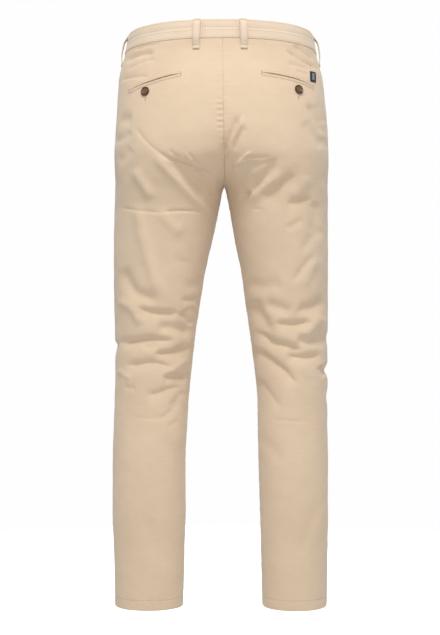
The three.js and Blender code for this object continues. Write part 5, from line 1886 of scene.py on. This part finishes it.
class Button:
    """A four-hole button, sewn with two bars of thread."""

    radius = 8.5
    thick = 3.0
    hole_radius = 0.95
    hole_offset = 1.9
    hole_depth = 1.7
    hole_slope = 0.3
    dish_share = 0.64
    rim_share = 0.34
    rim_from = 0.58
    rim_run = 0.2
    edge_from = 0.82
    strand_base = 0.62
    lift = 0.7
    sides = 72
    back_rings = (8.35, 7.2, 4, 0.01)
    back_heights = (0.8, 0.0, 0.0, 0.0)
    rim_height = 1.3
    strands = (-0.35, 0.0, 0.35)
    strand_points = 9
    strand_rise = 0.75

    def __init__(self, workshop: Workshop) -> None:
        self.workshop = workshop

    def profile(self, far: Array) -> Array:
        """Height of the face at each distance from its middle."""
        r = far / self.radius
        dish = self.dish_share + 0.02 * r + self.rim_share * smooth((r - self.rim_from) / self.rim_run)
        past_edge = np.clip((r - self.edge_from) / self.rim_run, 0, 1)
        return self.thick * dish * np.sqrt(np.clip(1 - past_edge**2, 0, 1))

    def build(self, name: str, point: Array, normal: Array, twist: float) -> None:
        """Makes one button.

        Args:
            name: the solid that it stands for.
            point: middle of its back.
            normal: where its face looks.
            twist: its turn in degrees.
        """
        upright = Vector(normal)
        sideways = Vector((0, 0, 1)).cross(upright).normalized()
        onward = upright.cross(sideways)
        angle = math.radians(twist)
        first = np.array(sideways) * math.cos(angle) + np.array(onward) * math.sin(angle)
        second = np.cross(np.array(upright), first)
        dish, rim = np.linspace(0.3, 4.4, 22), np.linspace(4.8, self.radius, 18)
        far = np.concatenate([[0.01], dish, rim, self.back_rings])
        front = len(far) - len(self.back_rings)
        ring = np.linspace(0, 2 * math.pi, self.sides, endpoint=False)
        u = far[:, None] * np.cos(ring)[None, :]
        v = far[:, None] * np.sin(ring)[None, :]
        height = np.broadcast_to(self.profile(far)[:, None], u.shape).copy()
        for i in (-1, 1):
            for j in (-1, 1):
                away = np.hypot(u - i * self.hole_offset, v - j * self.hole_offset)
                inside = self.hole_radius + self.hole_slope / 2 - away
                hole = self.hole_depth * smooth(inside / self.hole_slope)
                height[:front] -= hole[:front]
        height[front:] = np.array(self.back_heights)[:, None]
        height[front - 1] = self.rim_height
        points = point + u[..., None] * first + v[..., None] * second + height[..., None] * np.array(normal)
        rings, sides = u.shape
        grid = np.arange(rings * sides).reshape(rings, sides)
        after = np.roll(grid, -1, axis=1)
        faces = Workshop.quads(grid[:-1], grid[1:], after[1:], after[:-1])
        uv = np.stack([u, v], axis=-1).reshape(-1, 2)
        self.workshop.mesh(f"{name}_horn", points.reshape(-1, 3), faces, HORN, uv, [name])
        rows = []
        for j in (-1, 1):
            for slip in self.strands:
                along = np.linspace(-self.hole_offset, self.hole_offset, self.strand_points)
                arch = self.strand_rise * (1 - (along / self.hole_offset) ** 4)
                arch = self.thick * self.strand_base + arch - 0.3
                spot = point + along[:, None] * first + (j * self.hole_offset + slip) * second
                line = spot + arch[:, None] * np.array(normal)
                upright_all = np.repeat(np.array(normal)[None], self.strand_points, axis=0)
                rows.append(StitchRow(line, upright_all, *STRAND_STITCH))
        self.workshop.stitches(f"{name}_thread", rows, BUTTON_THREAD)


def build() -> None:
    """Makes the trousers, the studio and the camera."""
    workshop = Workshop(Materials())
    figure = Figure(MAIN_FOLDS)
    trousers = Trousers(Cloth(figure), workshop)
    for side in Side:
        for face in Face:
            trousers.panel(side, face)
        trousers.hip_facing(side)
    waist = Waist(figure)
    Waistband(waist, workshop).build()
    loops = []
    for name, turn, stand in (
        ("belt_loop_back_left", waist.turn_by(0, 47), 7.3),
        ("belt_loop_back_right", waist.turn_by(0, -38), 7.3),
        ("belt_loop_side_left", 0.985, 6.5),
        ("belt_loop_side_right", 3.015, 6.5),
        ("belt_loop_front_left", waist.turn_by(2, -72), 9.2),
        ("belt_loop_front_right", waist.turn_by(2, 72), 9.2),
    ):
        loops += BeltLoop(waist, workshop).build(name, turn, stand)
    workshop.stitches("belt_loop_stitches", loops)
    BackPockets(trousers.cloth, workshop).build()
    LegSewing(trousers).build()
    turn = np.array([waist.turn_by(Waistband.middle_front, BAND_LAP - BUTTON_INSET)])
    point, normal = waist.at(turn, np.array([BAND_LOW_Z + BAND_HEIGHT / 2]))
    off = BAND_LAP_LIFT + BAND_OUT + Button.lift
    Button(workshop).build("waist_button", point[0] + normal[0] * off, normal[0], 0.0)
    Studio().build()


class Studio:
    """White room, soft lights and the camera that took the photo."""

    camera_at = (0.0024, 2.45, -0.4962)
    lens = 75.08
    film = 36.0
    floor_z = -1.13
    floor_radius = 1.6
    white = "#fefefe"
    floor_grey = "#dadada"
    room_light = 0.5

    # Name, place, aim, side and power
    lights = (
        ("key", (0.05, 1.8, 2.3), (0.0, 0.1, -0.4), 0.8, 56.0),
        ("fill", (-0.3, 2.9, 0.1), (0.0, 0.0, -0.4), 1.4, 14.0),
        ("front_fill", (-0.6, -2.6, 0.6), (0.0, 0.0, -0.5), 1.4, 24.0),
    )

    def build(self) -> None:
        """Adds everything that isn't the trousers."""
        scene = bpy.context.scene
        scene.view_settings.view_transform = "Standard"
        self.world()
        self.floor()
        for light in self.lights:
            self.light(*light)
        camera = bpy.data.objects.new("camera", bpy.data.cameras.new("camera"))
        camera.data.lens = self.lens
        camera.data.sensor_fit = "VERTICAL"
        camera.data.sensor_height = self.film
        camera.location = self.camera_at
        camera.rotation_euler = (math.pi / 2, 0.0, math.pi)
        scene.collection.objects.link(camera)
        scene.camera = camera

    @staticmethod
    def light(name: str, at: tuple[float, ...], aim: tuple[float, ...], size: float, power: float) -> None:
        """A square soft light."""
        data = bpy.data.lights.new(name, "AREA")
        data.size = size
        data.energy = power
        lamp = bpy.data.objects.new(name, data)
        lamp.location = at
        lamp.rotation_euler = (Vector(aim) - Vector(at)).to_track_quat("-Z", "Y").to_euler()
        bpy.context.scene.collection.objects.link(lamp)

    def world(self) -> None:
        """White all round, with less light than it shows."""
        world = bpy.data.worlds.new("studio")
        bpy.context.scene.world = world
        world.use_nodes = True
        tree = world.node_tree
        tree.nodes.clear()
        seen = tree.nodes.new("ShaderNodeBackground")
        seen.inputs["Strength"].default_value = 1.0
        lit = tree.nodes.new("ShaderNodeBackground")
        lit.inputs["Strength"].default_value = self.room_light
        for node in (seen, lit):
            node.inputs["Color"].default_value = srgb(self.white)
        path = tree.nodes.new("ShaderNodeLightPath")
        mix = tree.nodes.new("ShaderNodeMixShader")
        tree.links.new(path.outputs["Is Camera Ray"], mix.inputs[0])
        tree.links.new(lit.outputs[0], mix.inputs[1])
        tree.links.new(seen.outputs[0], mix.inputs[2])
        out = tree.nodes.new("ShaderNodeOutputWorld")
        tree.links.new(mix.outputs[0], out.inputs["Surface"])

    def floor(self) -> None:
        """A plain pale floor under the hems."""
        place = (0, 0, self.floor_z)
        bpy.ops.mesh.primitive_circle_add(
            vertices=64, radius=self.floor_radius, fill_type="NGON", location=place
        )
        floor = bpy.context.object
        floor.name = "floor"
        material = bpy.data.materials.new("white_floor")
        material.use_nodes = True
        shader = material.node_tree.nodes["Principled BSDF"]
        shader.inputs["Base Color"].default_value = srgb(self.floor_grey)
        shader.inputs["Emission Color"].default_value = srgb(self.white)
        tree = material.node_tree
        path = tree.nodes.new("ShaderNodeLightPath")
        tree.links.new(path.outputs["Is Camera Ray"], shader.inputs["Emission Strength"])
        floor.data.materials.append(material)


def main() -> None:
    """Builds the scene."""
    logging.basicConfig(level=logging.INFO, format="%(message)s")
    build()


if __name__ == "__main__":
    main()
